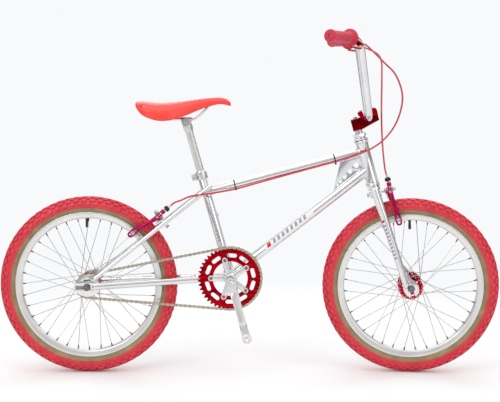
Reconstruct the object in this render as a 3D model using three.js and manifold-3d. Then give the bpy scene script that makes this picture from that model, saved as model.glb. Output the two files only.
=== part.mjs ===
// A 20-inch BMX bicycle as an assembly of separate, named pieces.
// Millimetres. +X is the riding direction, +Y the rider's left, +Z up, the floor is z = 0.
// Pieces are drawn with the rear axle at x = 0; the finished group is shifted so that the
// origin lies on the floor, under the middle of the bicycle.
import * as THREE from "three";
import { mergeVertices } from "three/addons/utils/BufferGeometryUtils.js";
import Module from "manifold-3d";

const wasm = await Module();
wasm.setup();

// ---------- driving dimensions ----------
const CLEARANCE = 0.3; // gap left between pieces that touch
const DEG = Math.PI / 180;

const WHEELBASE = 926;
const TYRE_RADIUS = 254;
const TYRE_HALF_WIDTH = 25;
const RIM_RADIUS = 209;
const RIM_INNER_RADIUS = 190;
const RIM_HALF_WIDTH = 15;
const SPOKES_PER_SIDE = 18;
const SPOKE_RADIUS = 1;
const SPOKE_CROSSING = 60 * DEG; // a spoke's turn about the axle between flange and rim

const HEAD_ANGLE = 16 * DEG; // both the head tube and the seat tube lean back this far
const SEAT_ANGLE = 16 * DEG;
const FORK_RAKE = 28;
const STEER_AT_REST = -6 * DEG; // the fork stands turned a little to the right
const AXLE_BELOW_HEAD = 317; // along the steering axis, from the head tube's lower end
const HEAD_TUBE_LENGTH = 118;
const HEAD_TUBE_RADIUS = 17.5;
const STEERER_RADIUS = 12.7;
const QUILL_RADIUS = 11.05;

const BRACKET_X = 405;
const BRACKET_Z = 278;
const BRACKET_RADIUS = 20.5;
const BRACKET_HALF_WIDTH = 34;
const SEAT_TUBE_LENGTH = 316; // from the bracket's centre to the tube's top
const SEAT_TUBE_RADIUS = 12.7;
const SEAT_POST_RADIUS = 11.1;
const SEAT_POST_TOP = 448;
const TOP_TUBE_RADIUS = 12.7;
const TOP_TUBE_ON_HEAD = 93; // height of the joint above the head tube's lower end
const TOP_TUBE_ON_SEAT = 253.5; // distance of the joint from the bracket along the seat tube
const DOWN_TUBE_RADIUS = 14.3;
const DOWN_TUBE_ON_HEAD = 40;
const TUBE_WALL = 1.4;

const DROPOUT_FACE = 55; // inner faces of the rear dropouts, each side of the middle
const DROPOUT_THICKNESS = 5;
const AXLE_RADIUS = 4.7;
const AXLE_SLOT = 10;

const CHAIN_Y = -43; // the chain's plane
const PITCH = 12.7;
const RING_TEETH = 44;
const FREEWHEEL_TEETH = 16;
const BOLT_CIRCLE = 55;
const CRANK_LENGTH = 175;
const CRANK_TURN = 16 * DEG; // the right crank stands this far forward of straight down

const BAR_RADIUS = 11.1;
const GRIP_RADIUS = 15;
const PAD_GAP = 2.5; // between a brake pad and the rim wall, brakes released

// ---------- materials ----------
const finish = (color, roughness, metalness) =>
  new THREE.MeshStandardMaterial({ color, roughness, metalness });
const chrome = finish(0xd8d8da, 0.15, 1);
const polished = finish(0xc9c9cb, 0.3, 1);
const satin = finish(0xbababc, 0.45, 1);
const redAnodised = finish(0xa80016, 0.35, 0.8);
const pinkAnodised = finish(0xbe1450, 0.35, 0.8);
const redRubber = finish(0xd73241, 0.7, 0);
const redVinyl = finish(0xc82341, 0.5, 0);
const redPlastic = finish(0xfa554b, 0.4, 0);
const redHousing = finish(0xcd3c41, 0.45, 0);
const padRubber = finish(0xd8d4cc, 0.7, 0);
const chainSteel = finish(0xb9a888, 0.35, 1);

// ---------- solids ----------
// How many sides a round piece has, by its size.
const FINE = 20;
const ROUND = 12;
const SMALL = 8;

const v3 = (x, y, z) => new THREE.Vector3(x, y, z);
const UP = v3(0, 1, 0);

// A closed geometry as a solid; a geometry that came out inside out is turned round.
function solid(geometry) {
  const bare = geometry.clone();
  bare.deleteAttribute("normal");
  bare.deleteAttribute("uv");
  const merged = mergeVertices(bare, 1e-4);
  const triVerts = new Uint32Array(merged.index.array);
  const made = (triangles) =>
    new wasm.Manifold(
      new wasm.Mesh({
        numProp: 3,
        vertProperties: merged.attributes.position.array,
        triVerts: triangles,
      }),
    );
  const first = made(triVerts);
  return first.volume() < 0 ? made(triVerts.slice().reverse()) : first;
}

const union = (...solids) => solids.reduce((all, s) => all.add(s));
const cut = (from, ...tools) => tools.reduce((rest, tool) => rest.subtract(tool), from);

// Turns a geometry drawn along +Y from the origin onto the line from a towards b.
function along(geometry, a, b) {
  const direction = b.clone().sub(a).normalize();
  geometry.applyQuaternion(new THREE.Quaternion().setFromUnitVectors(UP, direction));
  geometry.translate(a.x, a.y, a.z);
  return geometry;
}

function rod(a, b, radius, endRadius = radius, sides = ROUND) {
  const length = a.distanceTo(b);
  const geometry = new THREE.CylinderGeometry(endRadius, radius, length, sides);
  geometry.translate(0, length / 2, 0);
  return solid(along(geometry, a, b));
}

// A tube with open ends.
function pipe(a, b, outer, inner, sides = ROUND) {
  const length = a.distanceTo(b);
  return turned(a, b, [[inner, 0], [outer, 0], [outer, length], [inner, length]], sides);
}

// A closed profile of [radius, distance] turned about the line from a towards b.
function turned(a, b, profile, sides = FINE) {
  const points = [...profile, profile[0]].map(([r, s]) => new THREE.Vector2(r, s));
  return solid(along(new THREE.LatheGeometry(points, sides), a, b));
}

// A profile of [radius, y] turned about the Y axis, with a corner straight below the axis.
function wheel(profile, segments) {
  const points = [...profile, profile[0]].map(([r, y]) => new THREE.Vector2(r, y));
  return solid(new THREE.LatheGeometry(points, segments));
}

function block(width, depth, height, x = 0, y = 0, z = 0) {
  const geometry = new THREE.BoxGeometry(width, depth, height);
  geometry.translate(x, y, z);
  return solid(geometry);
}

// A flat plate: a shape drawn in X and Z, filling y from low to high.
function plate(shape, low, high, curveSegments = 3) {
  const geometry = new THREE.ExtrudeGeometry(shape, {
    depth: high - low,
    bevelEnabled: false,
    curveSegments,
  });
  geometry.rotateX(Math.PI / 2);
  geometry.translate(0, high, 0);
  return solid(geometry);
}

// The same, for a shape drawn in Y and Z that fills x from low to high.
const sidePlate = (shape, low, high, curveSegments) =>
  plate(shape, -high, -low, curveSegments).rotate([0, 0, 90]);

function circle(radius, sides) {
  return Array.from({ length: sides }, (_, i) => {
    const angle = (i * 2 * Math.PI) / sides;
    return new THREE.Vector2(radius * Math.cos(angle), radius * Math.sin(angle));
  });
}

const outline = (points) => new THREE.Shape(points.map(([x, z]) => new THREE.Vector2(x, z)));

// The outline of a bar of the given half-width with round ends.
function obround(ax, az, bx, bz, halfWidth) {
  const angle = Math.atan2(bz - az, bx - ax);
  const shape = new THREE.Shape();
  shape.absarc(ax, az, halfWidth, angle + Math.PI / 2, angle - Math.PI / 2 + 2 * Math.PI, false);
  shape.absarc(bx, bz, halfWidth, angle - Math.PI / 2, angle + Math.PI / 2, false);
  return shape;
}

// A route through hand-chosen points. Each corner is rounded from its reach before it to its
// reach after it, in a few steps; a reach of 0 keeps it sharp.
class Route extends THREE.Curve {
  constructor(corners, reaches, stepsPerCorner) {
    super();
    this.stops = [corners[0]];
    for (let i = 1; i < corners.length - 1; i++) {
      const [before, corner, after] = [corners[i - 1], corners[i], corners[i + 1]];
      const rounded = Array.isArray(reaches) ? reaches[i - 1] : reaches;
      if (rounded === 0) {
        this.stops.push(corner);
        continue;
      }
      const reach = (end) => Math.min(rounded, corner.distanceTo(end) / 2 - 0.5);
      const point = (end) =>
        corner.clone().add(end.clone().sub(corner).setLength(reach(end)));
      const bend = new THREE.QuadraticBezierCurve3(point(before), corner, point(after));
      this.stops.push(...bend.getPoints(stepsPerCorner));
    }
    this.stops.push(corners[corners.length - 1]);
  }
  get steps() {
    return this.stops.length - 1;
  }
  getUtoTmapping(u) {
    return u;
  }
  getPoint(t, target = new THREE.Vector3()) {
    const place = Math.min(t * this.steps, this.steps - 1e-9);
    const i = Math.floor(place);
    return target.lerpVectors(this.stops[i], this.stops[i + 1], place - i);
  }
  getTangent(t, target = new THREE.Vector3()) {
    const i = Math.round(t * this.steps);
    const leg = (a, b) => this.stops[b].clone().sub(this.stops[a]).normalize();
    if (i === 0) return target.copy(leg(0, 1));
    if (i === this.steps) return target.copy(leg(i - 1, i));
    return target.copy(leg(i - 1, i).add(leg(i, i + 1)).normalize());
  }
}

// A tube swept along a route; an inner radius above zero leaves it open from end to end.
function swept(route, outer, inner = 0, sides = 10) {
  const section = new THREE.Shape(circle(outer, sides));
  if (inner > 0) section.holes.push(new THREE.Path(circle(inner, sides)));
  return solid(
    new THREE.ExtrudeGeometry(section, {
      steps: route.steps,
      extrudePath: route,
    }),
  );
}

// ---------- scene graph ----------
const bicycle = new THREE.Group();
bicycle.position.x = -WHEELBASE / 2;

function addNode(name, body, material, parent = bicycle) {
  const { vertProperties, triVerts } = body.getMesh();
  const geometry = new THREE.BufferGeometry();
  geometry.setAttribute("position", new THREE.BufferAttribute(vertProperties, 3));
  geometry.setIndex(new THREE.BufferAttribute(triVerts, 1));
  geometry.computeVertexNormals();
  const mesh = new THREE.Mesh(geometry, material);
  mesh.name = name;
  parent.add(mesh);
}

// ---------- frame ----------
const bracket = v3(BRACKET_X, 0, BRACKET_Z);
const rearAxle = v3(0, 0, TYRE_RADIUS);
const seatAxis = v3(-Math.sin(SEAT_ANGLE), 0, Math.cos(SEAT_ANGLE));
const headAxis = v3(-Math.sin(HEAD_ANGLE), 0, Math.cos(HEAD_ANGLE));
const headForward = v3(Math.cos(HEAD_ANGLE), 0, Math.sin(HEAD_ANGLE));
const headBottom = v3(WHEELBASE, 0, TYRE_RADIUS)
  .addScaledVector(headForward, -FORK_RAKE)
  .addScaledVector(headAxis, AXLE_BELOW_HEAD);
const onHead = (s) => headBottom.clone().addScaledVector(headAxis, s);
const onSeatTube = (s) => bracket.clone().addScaledVector(seatAxis, s);
const sideways = (point, y) => point.clone().setY(y);

const topTubeRear = onSeatTube(TOP_TUBE_ON_SEAT);
const topTubeFront = onHead(TOP_TUBE_ON_HEAD);
const downTubeFront = onHead(DOWN_TUBE_ON_HEAD);
// Each tube's own space with the clearance round it, to mitre the tubes that meet it.
const around = (a, b, radius) => rod(a, b, radius + CLEARANCE, radius + CLEARANCE, 20);
const headSpace = around(onHead(-5), onHead(HEAD_TUBE_LENGTH + 5), HEAD_TUBE_RADIUS);
const seatSpace = around(onSeatTube(0), onSeatTube(SEAT_TUBE_LENGTH + 5), SEAT_TUBE_RADIUS);
const topSpace = around(topTubeRear, topTubeFront, TOP_TUBE_RADIUS);
const downSpace = around(bracket, downTubeFront, DOWN_TUBE_RADIUS);
const bracketSpace = around(
  sideways(bracket, -BRACKET_HALF_WIDTH - 2),
  sideways(bracket, BRACKET_HALF_WIDTH + 2),
  BRACKET_RADIUS,
);

function headTube() {
  const tube = pipe(onHead(0), onHead(HEAD_TUBE_LENGTH), HEAD_TUBE_RADIUS, 15.2, FINE);
  // The gusset fills the corner behind the head tube, between the top and the down tube.
  const rearTop = onHead(TOP_TUBE_ON_HEAD - 13).addScaledVector(headForward, -72);
  const rearFoot = bracket.clone().lerp(downTubeFront, 0.745);
  const web = outline([
    [onHead(DOWN_TUBE_ON_HEAD).x, onHead(DOWN_TUBE_ON_HEAD).z],
    [onHead(TOP_TUBE_ON_HEAD).x, onHead(TOP_TUBE_ON_HEAD).z],
    [rearTop.x, rearTop.z + 10],
    [rearFoot.x, rearFoot.z + 14],
  ]);
  // Five lightening holes, smaller towards the rear, in a row above the down tube.
  const holes = [[-47, 50, 7.5], [-65, 32, 6.5], [-80, 15, 5], [-92, 2, 4], [-100, -8, 3]];
  const drills = holes.map(([x, z, r]) => {
    const centre = v3(onHead(0).x + x, 0, onHead(0).z + z);
    return rod(sideways(centre, -5), sideways(centre, 5), r, r, SMALL);
  });
  const gusset = cut(plate(web, -1.5, 1.5), topSpace, downSpace, ...drills);
  const bore = rod(onHead(-5), onHead(HEAD_TUBE_LENGTH + 5), 16, 16, FINE);
  return tube.add(gusset.subtract(bore));
}

function topTube() {
  const tube = pipe(topTubeRear, topTubeFront, TOP_TUBE_RADIUS, TOP_TUBE_RADIUS - TUBE_WALL);
  return cut(tube, seatSpace, headSpace);
}

function downTube() {
  const tube = pipe(bracket, downTubeFront, DOWN_TUBE_RADIUS, DOWN_TUBE_RADIUS - TUBE_WALL);
  return cut(tube, bracketSpace, seatSpace, headSpace);
}

function seatTube() {
  const tube = pipe(onSeatTube(8), onSeatTube(SEAT_TUBE_LENGTH), SEAT_TUBE_RADIUS, 11.4, FINE);
  const slitAt = onSeatTube(SEAT_TUBE_LENGTH - 14).addScaledVector(headForward, -12);
  const slit = block(14, 2.5, 42, slitAt.x, 0, slitAt.z);
  return cut(tube, bracketSpace, slit);
}

function bracketShell() {
  const w = BRACKET_HALF_WIDTH;
  // Bearing cups close both ends of the shell down to the spindle.
  return turned(
    sideways(bracket, -w),
    sideways(bracket, w),
    [[9, 0], [BRACKET_RADIUS, 0], [BRACKET_RADIUS, 2 * w], [9, 2 * w], [9, 2 * w - 10],
      [17, 2 * w - 10], [17, 10], [9, 10]],
    FINE,
  );
}

// A dropout's outline with its rearward axle slot and the small slot above it.
function dropoutShape(scale = 1) {
  const half = AXLE_SLOT / 2;
  const shape = new THREE.Shape();
  shape.moveTo(-33, half);
  shape.lineTo(0, half);
  if (scale === 1) shape.absarc(0, 0, half, Math.PI / 2, -Math.PI / 2, true);
  shape.lineTo(-33, -half);
  shape.lineTo(-33, -11);
  shape.quadraticCurveTo(-22, -25, 2, -27);
  shape.quadraticCurveTo(22, -26, 34, -12);
  shape.lineTo(34, 12);
  shape.lineTo(27, 35);
  shape.lineTo(9, 37);
  shape.quadraticCurveTo(-20, 32, -33, 12);
  if (scale === 1) shape.holes.push(obround(-6, 19, 8, 21, 2.8));
  return shape;
}

function dropout(side) {
  const inner = DROPOUT_FACE;
  const outer = DROPOUT_FACE + DROPOUT_THICKNESS;
  const [low, high] = side > 0 ? [inner, outer] : [-outer, -inner];
  return plate(dropoutShape(), low, high).translate([rearAxle.x, 0, rearAxle.z]);
}

function dropoutSpace(side) {
  const y = side * (DROPOUT_FACE + DROPOUT_THICKNESS / 2);
  const half = DROPOUT_THICKNESS / 2 + CLEARANCE;
  return plate(dropoutShape(1.02), -half, half)
    .scale([1.02, 1, 1.02])
    .translate([rearAxle.x, y, rearAxle.z]);
}

const stayFoot = DROPOUT_FACE + DROPOUT_THICKNESS / 2;

// An oval stay, taller than it is wide, so that it clears the tyre and the chain.
function ovalStay(rear, front) {
  const stay = rod(rear, front, 8, 8, ROUND);
  const tall = stay.translate([0, 0, -rear.z]).scale([1, 1, 1.2]);
  return tall.translate([0, 0, rear.z - (front.z - rear.z) * 0.1]);
}

function chainstay(side) {
  const rear = v3(22, side * stayFoot, rearAxle.z + 1.5);
  const front = v3(BRACKET_X, side * 21, BRACKET_Z);
  return cut(ovalStay(rear, front), dropoutSpace(side), bracketSpace);
}

function chainstayBridge() {
  const centre = v3(300, 0, 271.5);
  const bar = rod(sideways(centre, -25), sideways(centre, 31), 6.5, 6.5, SMALL);
  const otherStay = ovalStay(
    v3(22, -stayFoot, rearAxle.z + 1.5),
    v3(BRACKET_X, -21, BRACKET_Z),
  ).translate([0, CLEARANCE, 0]);
  return bar.subtract(otherStay);
}

const seatstayRear = v3(22, stayFoot, 278.5);
const seatstayFront = v3(344, 19.5, 537);

function seatstay(side) {
  const rear = sideways(seatstayRear, side * seatstayRear.y);
  const front = sideways(seatstayFront, side * seatstayFront.y);
  return cut(rod(rear, front, 6, 8, ROUND), dropoutSpace(side), seatSpace, topSpace);
}

// The rear brake hangs on a bridge between the seat stays.
const bridgeShare = 0.6;
const bridge = seatstayRear.clone().lerp(seatstayFront, bridgeShare);
const bridgeCentre = sideways(bridge, 0);
const stayAngle = Math.atan2(seatstayFront.z - seatstayRear.z, seatstayFront.x - seatstayRear.x);
const awayFromWheel = v3(Math.cos(stayAngle), 0, Math.sin(stayAngle));
const brakeFacing = v3(-Math.sin(stayAngle), 0, Math.cos(stayAngle));

function seatstayBridge() {
  const bar = rod(sideways(bridge, -bridge.y), bridge, 8, 8, ROUND);
  const otherStay = rod(
    sideways(seatstayRear, -seatstayRear.y + CLEARANCE),
    sideways(seatstayFront, -seatstayFront.y + CLEARANCE),
    6.2,
    8.2,
  );
  const boltHole = rod(
    bridgeCentre.clone().addScaledVector(brakeFacing, -20),
    bridgeCentre.clone().addScaledVector(brakeFacing, 20),
    3.4,
    3.4,
    12,
  );
  return cut(bar, otherStay, boltHole);
}

addNode("head_tube", headTube(), chrome);
addNode("top_tube", topTube(), chrome);
addNode("down_tube", downTube(), chrome);
addNode("seat_tube", seatTube(), chrome);
addNode("bottom_bracket_shell", bracketShell(), chrome);
addNode("chainstay_left", union(chainstay(1), chainstayBridge()), chrome);
addNode("chainstay_right", chainstay(-1), chrome);
addNode("seatstay_left", union(seatstay(1), seatstayBridge()), chrome);
addNode("seatstay_right", seatstay(-1), chrome);
addNode("dropout_left", dropout(1), chrome);
addNode("dropout_right", dropout(-1), chrome);

// ---------- seat ----------
function seatClamp() {
  const low = onSeatTube(SEAT_TUBE_LENGTH - 25);
  const high = onSeatTube(SEAT_TUBE_LENGTH - 2);
  const band = pipe(low, high, 16.2, SEAT_TUBE_RADIUS + CLEARANCE, FINE);
  const ears = onSeatTube(SEAT_TUBE_LENGTH - 13).addScaledVector(headForward, -21);
  const lug = block(13, 20, 16).rotate([0, -SEAT_ANGLE / DEG, 0]).translate([ears.x, 0, ears.z]);
  const bore = rod(onSeatTube(200), onSeatTube(400), SEAT_TUBE_RADIUS + CLEARANCE, 13, FINE);
  const bolt = rod(sideways(ears, -17), sideways(ears, 16), 4.5, 4.5, SMALL);
  const head = rod(sideways(ears, -17), sideways(ears, -9), 7.5, 7.5, SMALL);
  const slot = block(30, 2.5, 34, ears.x - 6, 0, ears.z + 4);
  return union(band, lug.subtract(bore).subtract(slot), bolt, head);
}

function seatPost() {
  const shaft = rod(onSeatTube(205), onSeatTube(SEAT_POST_TOP), SEAT_POST_RADIUS,
    SEAT_POST_RADIUS, FINE);
  const neck = rod(onSeatTube(SEAT_POST_TOP - 14), onSeatTube(SEAT_POST_TOP + 4), 12.5, 14, ROUND);
  const bore = rod(onSeatTube(190), onSeatTube(SEAT_POST_TOP - 20), 8.6, 8.6, ROUND);
  return cut(union(shaft, neck), bore, cradleSpace());
}

// The cradle is a cross barrel that rocks on the post's hollow head.
const cradle = onSeatTube(SEAT_POST_TOP + 13);
const CRADLE_RADIUS = 13;
const RAIL_Y = 22;
const RAIL_RADIUS = 3.5;
const railHeight = cradle.z + 8;

function cradleSpace() {
  const r = CRADLE_RADIUS + CLEARANCE;
  return rod(sideways(cradle, -40), sideways(cradle, 40), r, r, FINE);
}

function seatCradle() {
  const barrel = rod(sideways(cradle, -30), sideways(cradle, 30), CRADLE_RADIUS, CRADLE_RADIUS, FINE);
  const cap = rod(sideways(cradle, -34), sideways(cradle, 34), 7, 7, SMALL);
  const groove = (side) =>
    rod(
      v3(cradle.x - 40, side * RAIL_Y, railHeight),
      v3(cradle.x + 40, side * RAIL_Y, railHeight),
      RAIL_RADIUS + CLEARANCE,
      RAIL_RADIUS + CLEARANCE,
      12,
    );
  return cut(union(barrel, cap), groove(1), groove(-1));
}

// Saddle sections from tail to nose: x, top height at the middle, half-width, skirt depth, camber.
const saddleSections = [
  [135, 777, 36, 12, 3],
  [143, 779, 56, 27, 4],
  [156, 779, 65, 39, 6],
  [175, 777, 70, 46, 7],
  [205, 775, 70, 51, 8],
  [240, 777, 62, 50, 8],
  [275, 781, 46, 43, 7],
  [310, 786, 32, 33, 6],
  [345, 790, 23, 24, 5],
  [375, 791, 19, 19, 5],
  [395, 786, 16, 17, 4],
  [405, 776, 9, 9, 2],
];
const SHELL_THICKNESS = 4;

// One arch of the shell, from the left skirt over the top to the right skirt.
function saddleArch([x, top, half, skirt, camber], inset) {
  const points = [];
  const steps = 10;
  for (let i = 0; i <= steps; i++) {
    const angle = (i / steps) * Math.PI;
    const across = Math.cos(angle);
    const round = Math.pow(Math.sin(angle), 0.35);
    const drop = (skirt - camber) * (1 - round) + camber * across * across;
    const shrink = Math.max(half - inset, 1);
    points.push(v3(x, across * shrink, top - inset * round - drop));
  }
  return points;
}

// A thin arched shell, open underneath.
function saddleShell() {
  const loops = saddleSections.map((section) => {
    const outer = saddleArch(section, 0);
    const inner = saddleArch(section, SHELL_THICKNESS).reverse();
    return [...outer, ...inner];
  });
  return solid(stitched(loops));
}

// Closes a row of equal loops into one solid, with a flat cap at each end.
function stitched(loops) {
  const count = loops[0].length;
  const positions = loops.flat().flatMap((p) => [p.x, p.y, p.z]);
  const index = [];
  for (let i = 0; i + 1 < loops.length; i++)
    for (let j = 0; j < count; j++) {
      const k = (j + 1) % count;
      const [a, b, c, d] = [i * count + j, i * count + k, (i + 1) * count + j, (i + 1) * count + k];
      index.push(a, b, d, a, d, c);
    }
  const half = count / 2;
  for (let j = 0; j + 1 < half; j++) {
    const [a, b, c, d] = [j, j + 1, count - 1 - j, count - 2 - j];
    const last = (loops.length - 1) * count;
    index.push(a, d, b, a, c, d);
    index.push(last + a, last + b, last + d, last + a, last + d, last + c);
  }
  const geometry = new THREE.BufferGeometry();
  geometry.setAttribute("position", new THREE.Float32BufferAttribute(positions, 3));
  geometry.setIndex(index);
  return geometry;
}

function saddleRails() {
  const side = (y) => {
    const s = Math.sign(y);
    return [
      v3(178, s * 30, 755),
      v3(196, s * 28, railHeight + 12),
      v3(218, s * RAIL_Y, railHeight),
      v3(300, s * RAIL_Y, railHeight),
      v3(345, s * 12, 768),
      v3(362, s * 5, 776),
    ];
  };
  const left = swept(new Route(side(1), 14, 2), RAIL_RADIUS, 0, 6);
  const right = swept(new Route(side(-1), 14, 2), RAIL_RADIUS, 0, 6);
  const nose = rod(v3(361, -9, 775.5), v3(361, 9, 775.5), 4.2, 4.2, SMALL);
  const tail = rod(v3(179, -33, 755), v3(179, 33, 755), 4.2, 4.2, SMALL);
  return union(left, right, nose, tail);
}

addNode("seat_clamp", seatClamp(), polished);
addNode("seat_post", seatPost(), satin);
addNode("seat_cradle", seatCradle(), polished);
addNode("saddle_rails", saddleRails(), chrome);
addNode("saddle_shell", saddleShell(), redPlastic);

// ---------- headset ----------
addNode(
  "headset_upper_cup",
  turned(onHead(HEAD_TUBE_LENGTH + CLEARANCE), onHead(200),
    [[13.6, 0], [18, 0], [20.5, 4], [20.5, 8], [13.6, 8]], FINE),
  chrome,
);
addNode(
  "headset_lower_cup",
  turned(onHead(-CLEARANCE), onHead(-50),
    [[13.6, 0], [18, 0], [20, 3], [20, 8], [13.6, 8]], FINE),
  chrome,
);

// ---------- steered pieces ----------
// In this group z runs up the steering axis from the head tube's lower end, x points forward.
const steered = new THREE.Group();
steered.position.copy(headBottom);
steered.rotation.set(0, -HEAD_ANGLE, STEER_AT_REST);
bicycle.add(steered);

const BRAKE_BOLT_DROP = 32.5; // the brake bolt crosses the crown this far below the head tube
const LEG_TOP = v3(1, 49, -16);
const LEG_FOOT = v3(17, 53, -300);
const frontAxle = v3(FORK_RAKE, 0, -AXLE_BELOW_HEAD);
const FORK_FACE = 50; // inner faces of the fork ends

addNode(
  "headset_locknut",
  turned(v3(0, 0, HEAD_TUBE_LENGTH + 8 + 2 * CLEARANCE), v3(0, 0, 200),
    [[STEERER_RADIUS + CLEARANCE, 0], [19.5, 0], [20, 6], [16, 9], [17.5, 12], [17, 19],
      [STEERER_RADIUS + CLEARANCE, 19]], FINE),
  chrome,
  steered,
);

// A fork end: a paddle with its axle slot open downwards.
function forkEndShape() {
  const half = AXLE_SLOT / 2;
  const shape = new THREE.Shape();
  shape.moveTo(-half, -24);
  shape.lineTo(-half, 0);
  shape.absarc(0, 0, half, Math.PI, 0, true);
  shape.lineTo(half, -24);
  shape.quadraticCurveTo(20, -22, 22, -4);
  shape.quadraticCurveTo(23, 14, 8, 26);
  shape.lineTo(0, 50);
  shape.lineTo(-16, 50);
  shape.lineTo(-22, 4);
  shape.quadraticCurveTo(-21, -22, -half, -24);
  return shape;
}

function fork() {
  const steerer = rod(v3(0, 0, -30), v3(0, 0, HEAD_TUBE_LENGTH + 27), STEERER_RADIUS,
    STEERER_RADIUS, ROUND);
  const race = rod(v3(0, 0, -14), v3(0, 0, -9), 17.5, 19, FINE);
  const crown = rod(v3(0, -49, -BRAKE_BOLT_DROP + 5), v3(0, 49, -BRAKE_BOLT_DROP + 5), 16, 16, ROUND);
  const stub = rod(v3(0, 0, -40), v3(0, 0, -12), 17, 17.5, ROUND);
  const legs = [1, -1].map((side) => {
    const top = sideways(LEG_TOP, side * LEG_TOP.y);
    const foot = sideways(LEG_FOOT, side * LEG_FOOT.y);
    return rod(top, foot, 12.7, 9.5, ROUND);
  });
  const hollows = [1, -1].map((side) => {
    const top = sideways(LEG_TOP, side * LEG_TOP.y);
    const foot = sideways(LEG_FOOT, side * LEG_FOOT.y);
    const bore = rod(top.clone().lerp(foot, 0.12), top.clone().lerp(foot, 0.88), 11, 8.5, SMALL);
    const low = top.clone().lerp(foot, 0.85);
    return bore.add(rod(sideways(low, 0), low, 2.5, 2.5, SMALL)); // the vent hole on the wheel's side
  });
  const ends = [1, -1].map((side) => {
    const [low, high] = side > 0 ? [FORK_FACE, FORK_FACE + 5] : [-FORK_FACE - 5, -FORK_FACE];
    return plate(forkEndShape(), low, high).translate([frontAxle.x, 0, frontAxle.z]);
  });
  const quillBore = rod(v3(0, 0, -22), v3(0, 0, 160), 11.4, 11.4, ROUND);
  const boltHole = rod(v3(-40, 0, -BRAKE_BOLT_DROP), v3(40, 0, -BRAKE_BOLT_DROP), 3.4, 3.4, SMALL);
  const body = union(steerer, race, crown, stub, ...legs);
  return cut(union(cut(body, ...hollows), ...ends), quillBore, boltHole);
}

// ---------- stem, bar and grips ----------
const barClamp = v3(38, 0, 184);
const BAR_FOOT = v3(38, 52, 184); // where the riser's line meets the clamped stretch
const BAR_BEND = v3(67.5, 170, 401.6);
const BAR_END = v3(-6, 345, 425.7);
const STEM_HALF_WIDTH = 22;
const barSpace = rod(sideways(barClamp, -60), sideways(barClamp, 60), BAR_RADIUS + CLEARANCE,
  BAR_RADIUS + CLEARANCE, FINE);

function stemBody() {
  const side = outline([[-14, 157], [15, 157], [30, 161], [65, 169.5], [65, 184], [20, 184],
    [15, 190], [-14, 190]]);
  const quill = rod(v3(0, 0, 70), v3(0, 0, 160), QUILL_RADIUS, QUILL_RADIUS, ROUND);
  const expander = rod(v3(0, 0, 189), v3(0, 0, 195), 5.5, 5.5, SMALL);
  return cut(union(plate(side, -STEM_HALF_WIDTH, STEM_HALF_WIDTH), quill, expander), barSpace);
}

function stemBarCap() {
  // Two raised lobes carry the bolts; the middle dips over the bar.
  const side = outline([[21, 184.3], [65, 184.3], [63, 203], [51, 206], [46, 199], [31, 199],
    [26, 208], [17, 206]]);
  return plate(side, -STEM_HALF_WIDTH, STEM_HALF_WIDTH).subtract(barSpace);
}

function handlebar() {
  const half = [barClamp, BAR_FOOT, BAR_BEND, BAR_END];
  const otherHalf = half.slice(1).map((p) => sideways(p, -p.y)).reverse();
  const route = new Route([...otherHalf, ...half.slice(1)], [42, 27, 27, 42], 4);
  const bar = swept(route, BAR_RADIUS, BAR_RADIUS - 1.6, 10);
  const joint = BAR_FOOT.clone().lerp(BAR_BEND, 0.58);
  const crossbar = rod(sideways(joint, -joint.y), joint, 8, 8, SMALL);
  return bar.add(crossbar.subtract(crossbarBores(joint)));
}

// The crossbar stops inside the riser's wall.
function crossbarBores(joint) {
  const r = BAR_RADIUS - 1;
  const direction = BAR_BEND.clone().sub(BAR_FOOT).normalize();
  return [1, -1]
    .map((side) => {
      const spot = (t) => {
        const p = joint.clone().addScaledVector(direction, t);
        return sideways(p, side * p.y);
      };
      return rod(spot(-30), spot(30), r, r, SMALL);
    })
    .reduce((all, s) => all.add(s));
}

const barOutward = BAR_END.clone().sub(BAR_BEND).normalize();
const onBar = (distance) => BAR_BEND.clone().addScaledVector(barOutward, distance);
const BAR_LENGTH = BAR_END.distanceTo(BAR_BEND);
const GRIP_LENGTH = 126;

function grip() {
  const start = onBar(BAR_LENGTH - GRIP_LENGTH);
  const inner = BAR_RADIUS + CLEARANCE;
  const deep = GRIP_LENGTH + 1;
  return turned(
    start,
    onBar(400),
    [[inner, 0], [24, 0], [24, 5], [GRIP_RADIUS, 7], [GRIP_RADIUS, deep - 4],
      [GRIP_RADIUS + 2, deep - 2], [GRIP_RADIUS + 1, deep + 4], [4, deep + 4], [4, deep + 0.5],
      [inner, deep + 0.5]],
    FINE,
  );
}

addNode("fork", fork(), chrome, steered);
addNode("stem_body", stemBody(), redAnodised, steered);
addNode("stem_bar_cap", stemBarCap(), redAnodised, steered);
addNode("handlebar", handlebar(), chrome, steered);

// ---------- brake levers ----------
// Each lever hangs in a frame on the bar: y runs outward along the bar, x points forward and down.
const LEVER_PLACE = 50; // distance of the clamp from the bar's bend
const LEVER_DROP = 50 * DEG;

function barSide(side) {
  const mirror = new THREE.Group();
  mirror.scale.y = side;
  steered.add(mirror);
  const lever = new THREE.Group();
  const forward = barOutward.clone().cross(v3(0, 0, 1)).normalize();
  const upward = forward.clone().cross(barOutward);
  const basis = new THREE.Matrix4().makeBasis(forward, barOutward, upward);
  lever.quaternion.setFromRotationMatrix(basis);
  lever.rotateY(LEVER_DROP);
  lever.position.copy(onBar(LEVER_PLACE));
  mirror.add(lever);
  return { mirror, lever };
}

const LEVER_PIVOT = v3(31, 4, 0);

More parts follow.
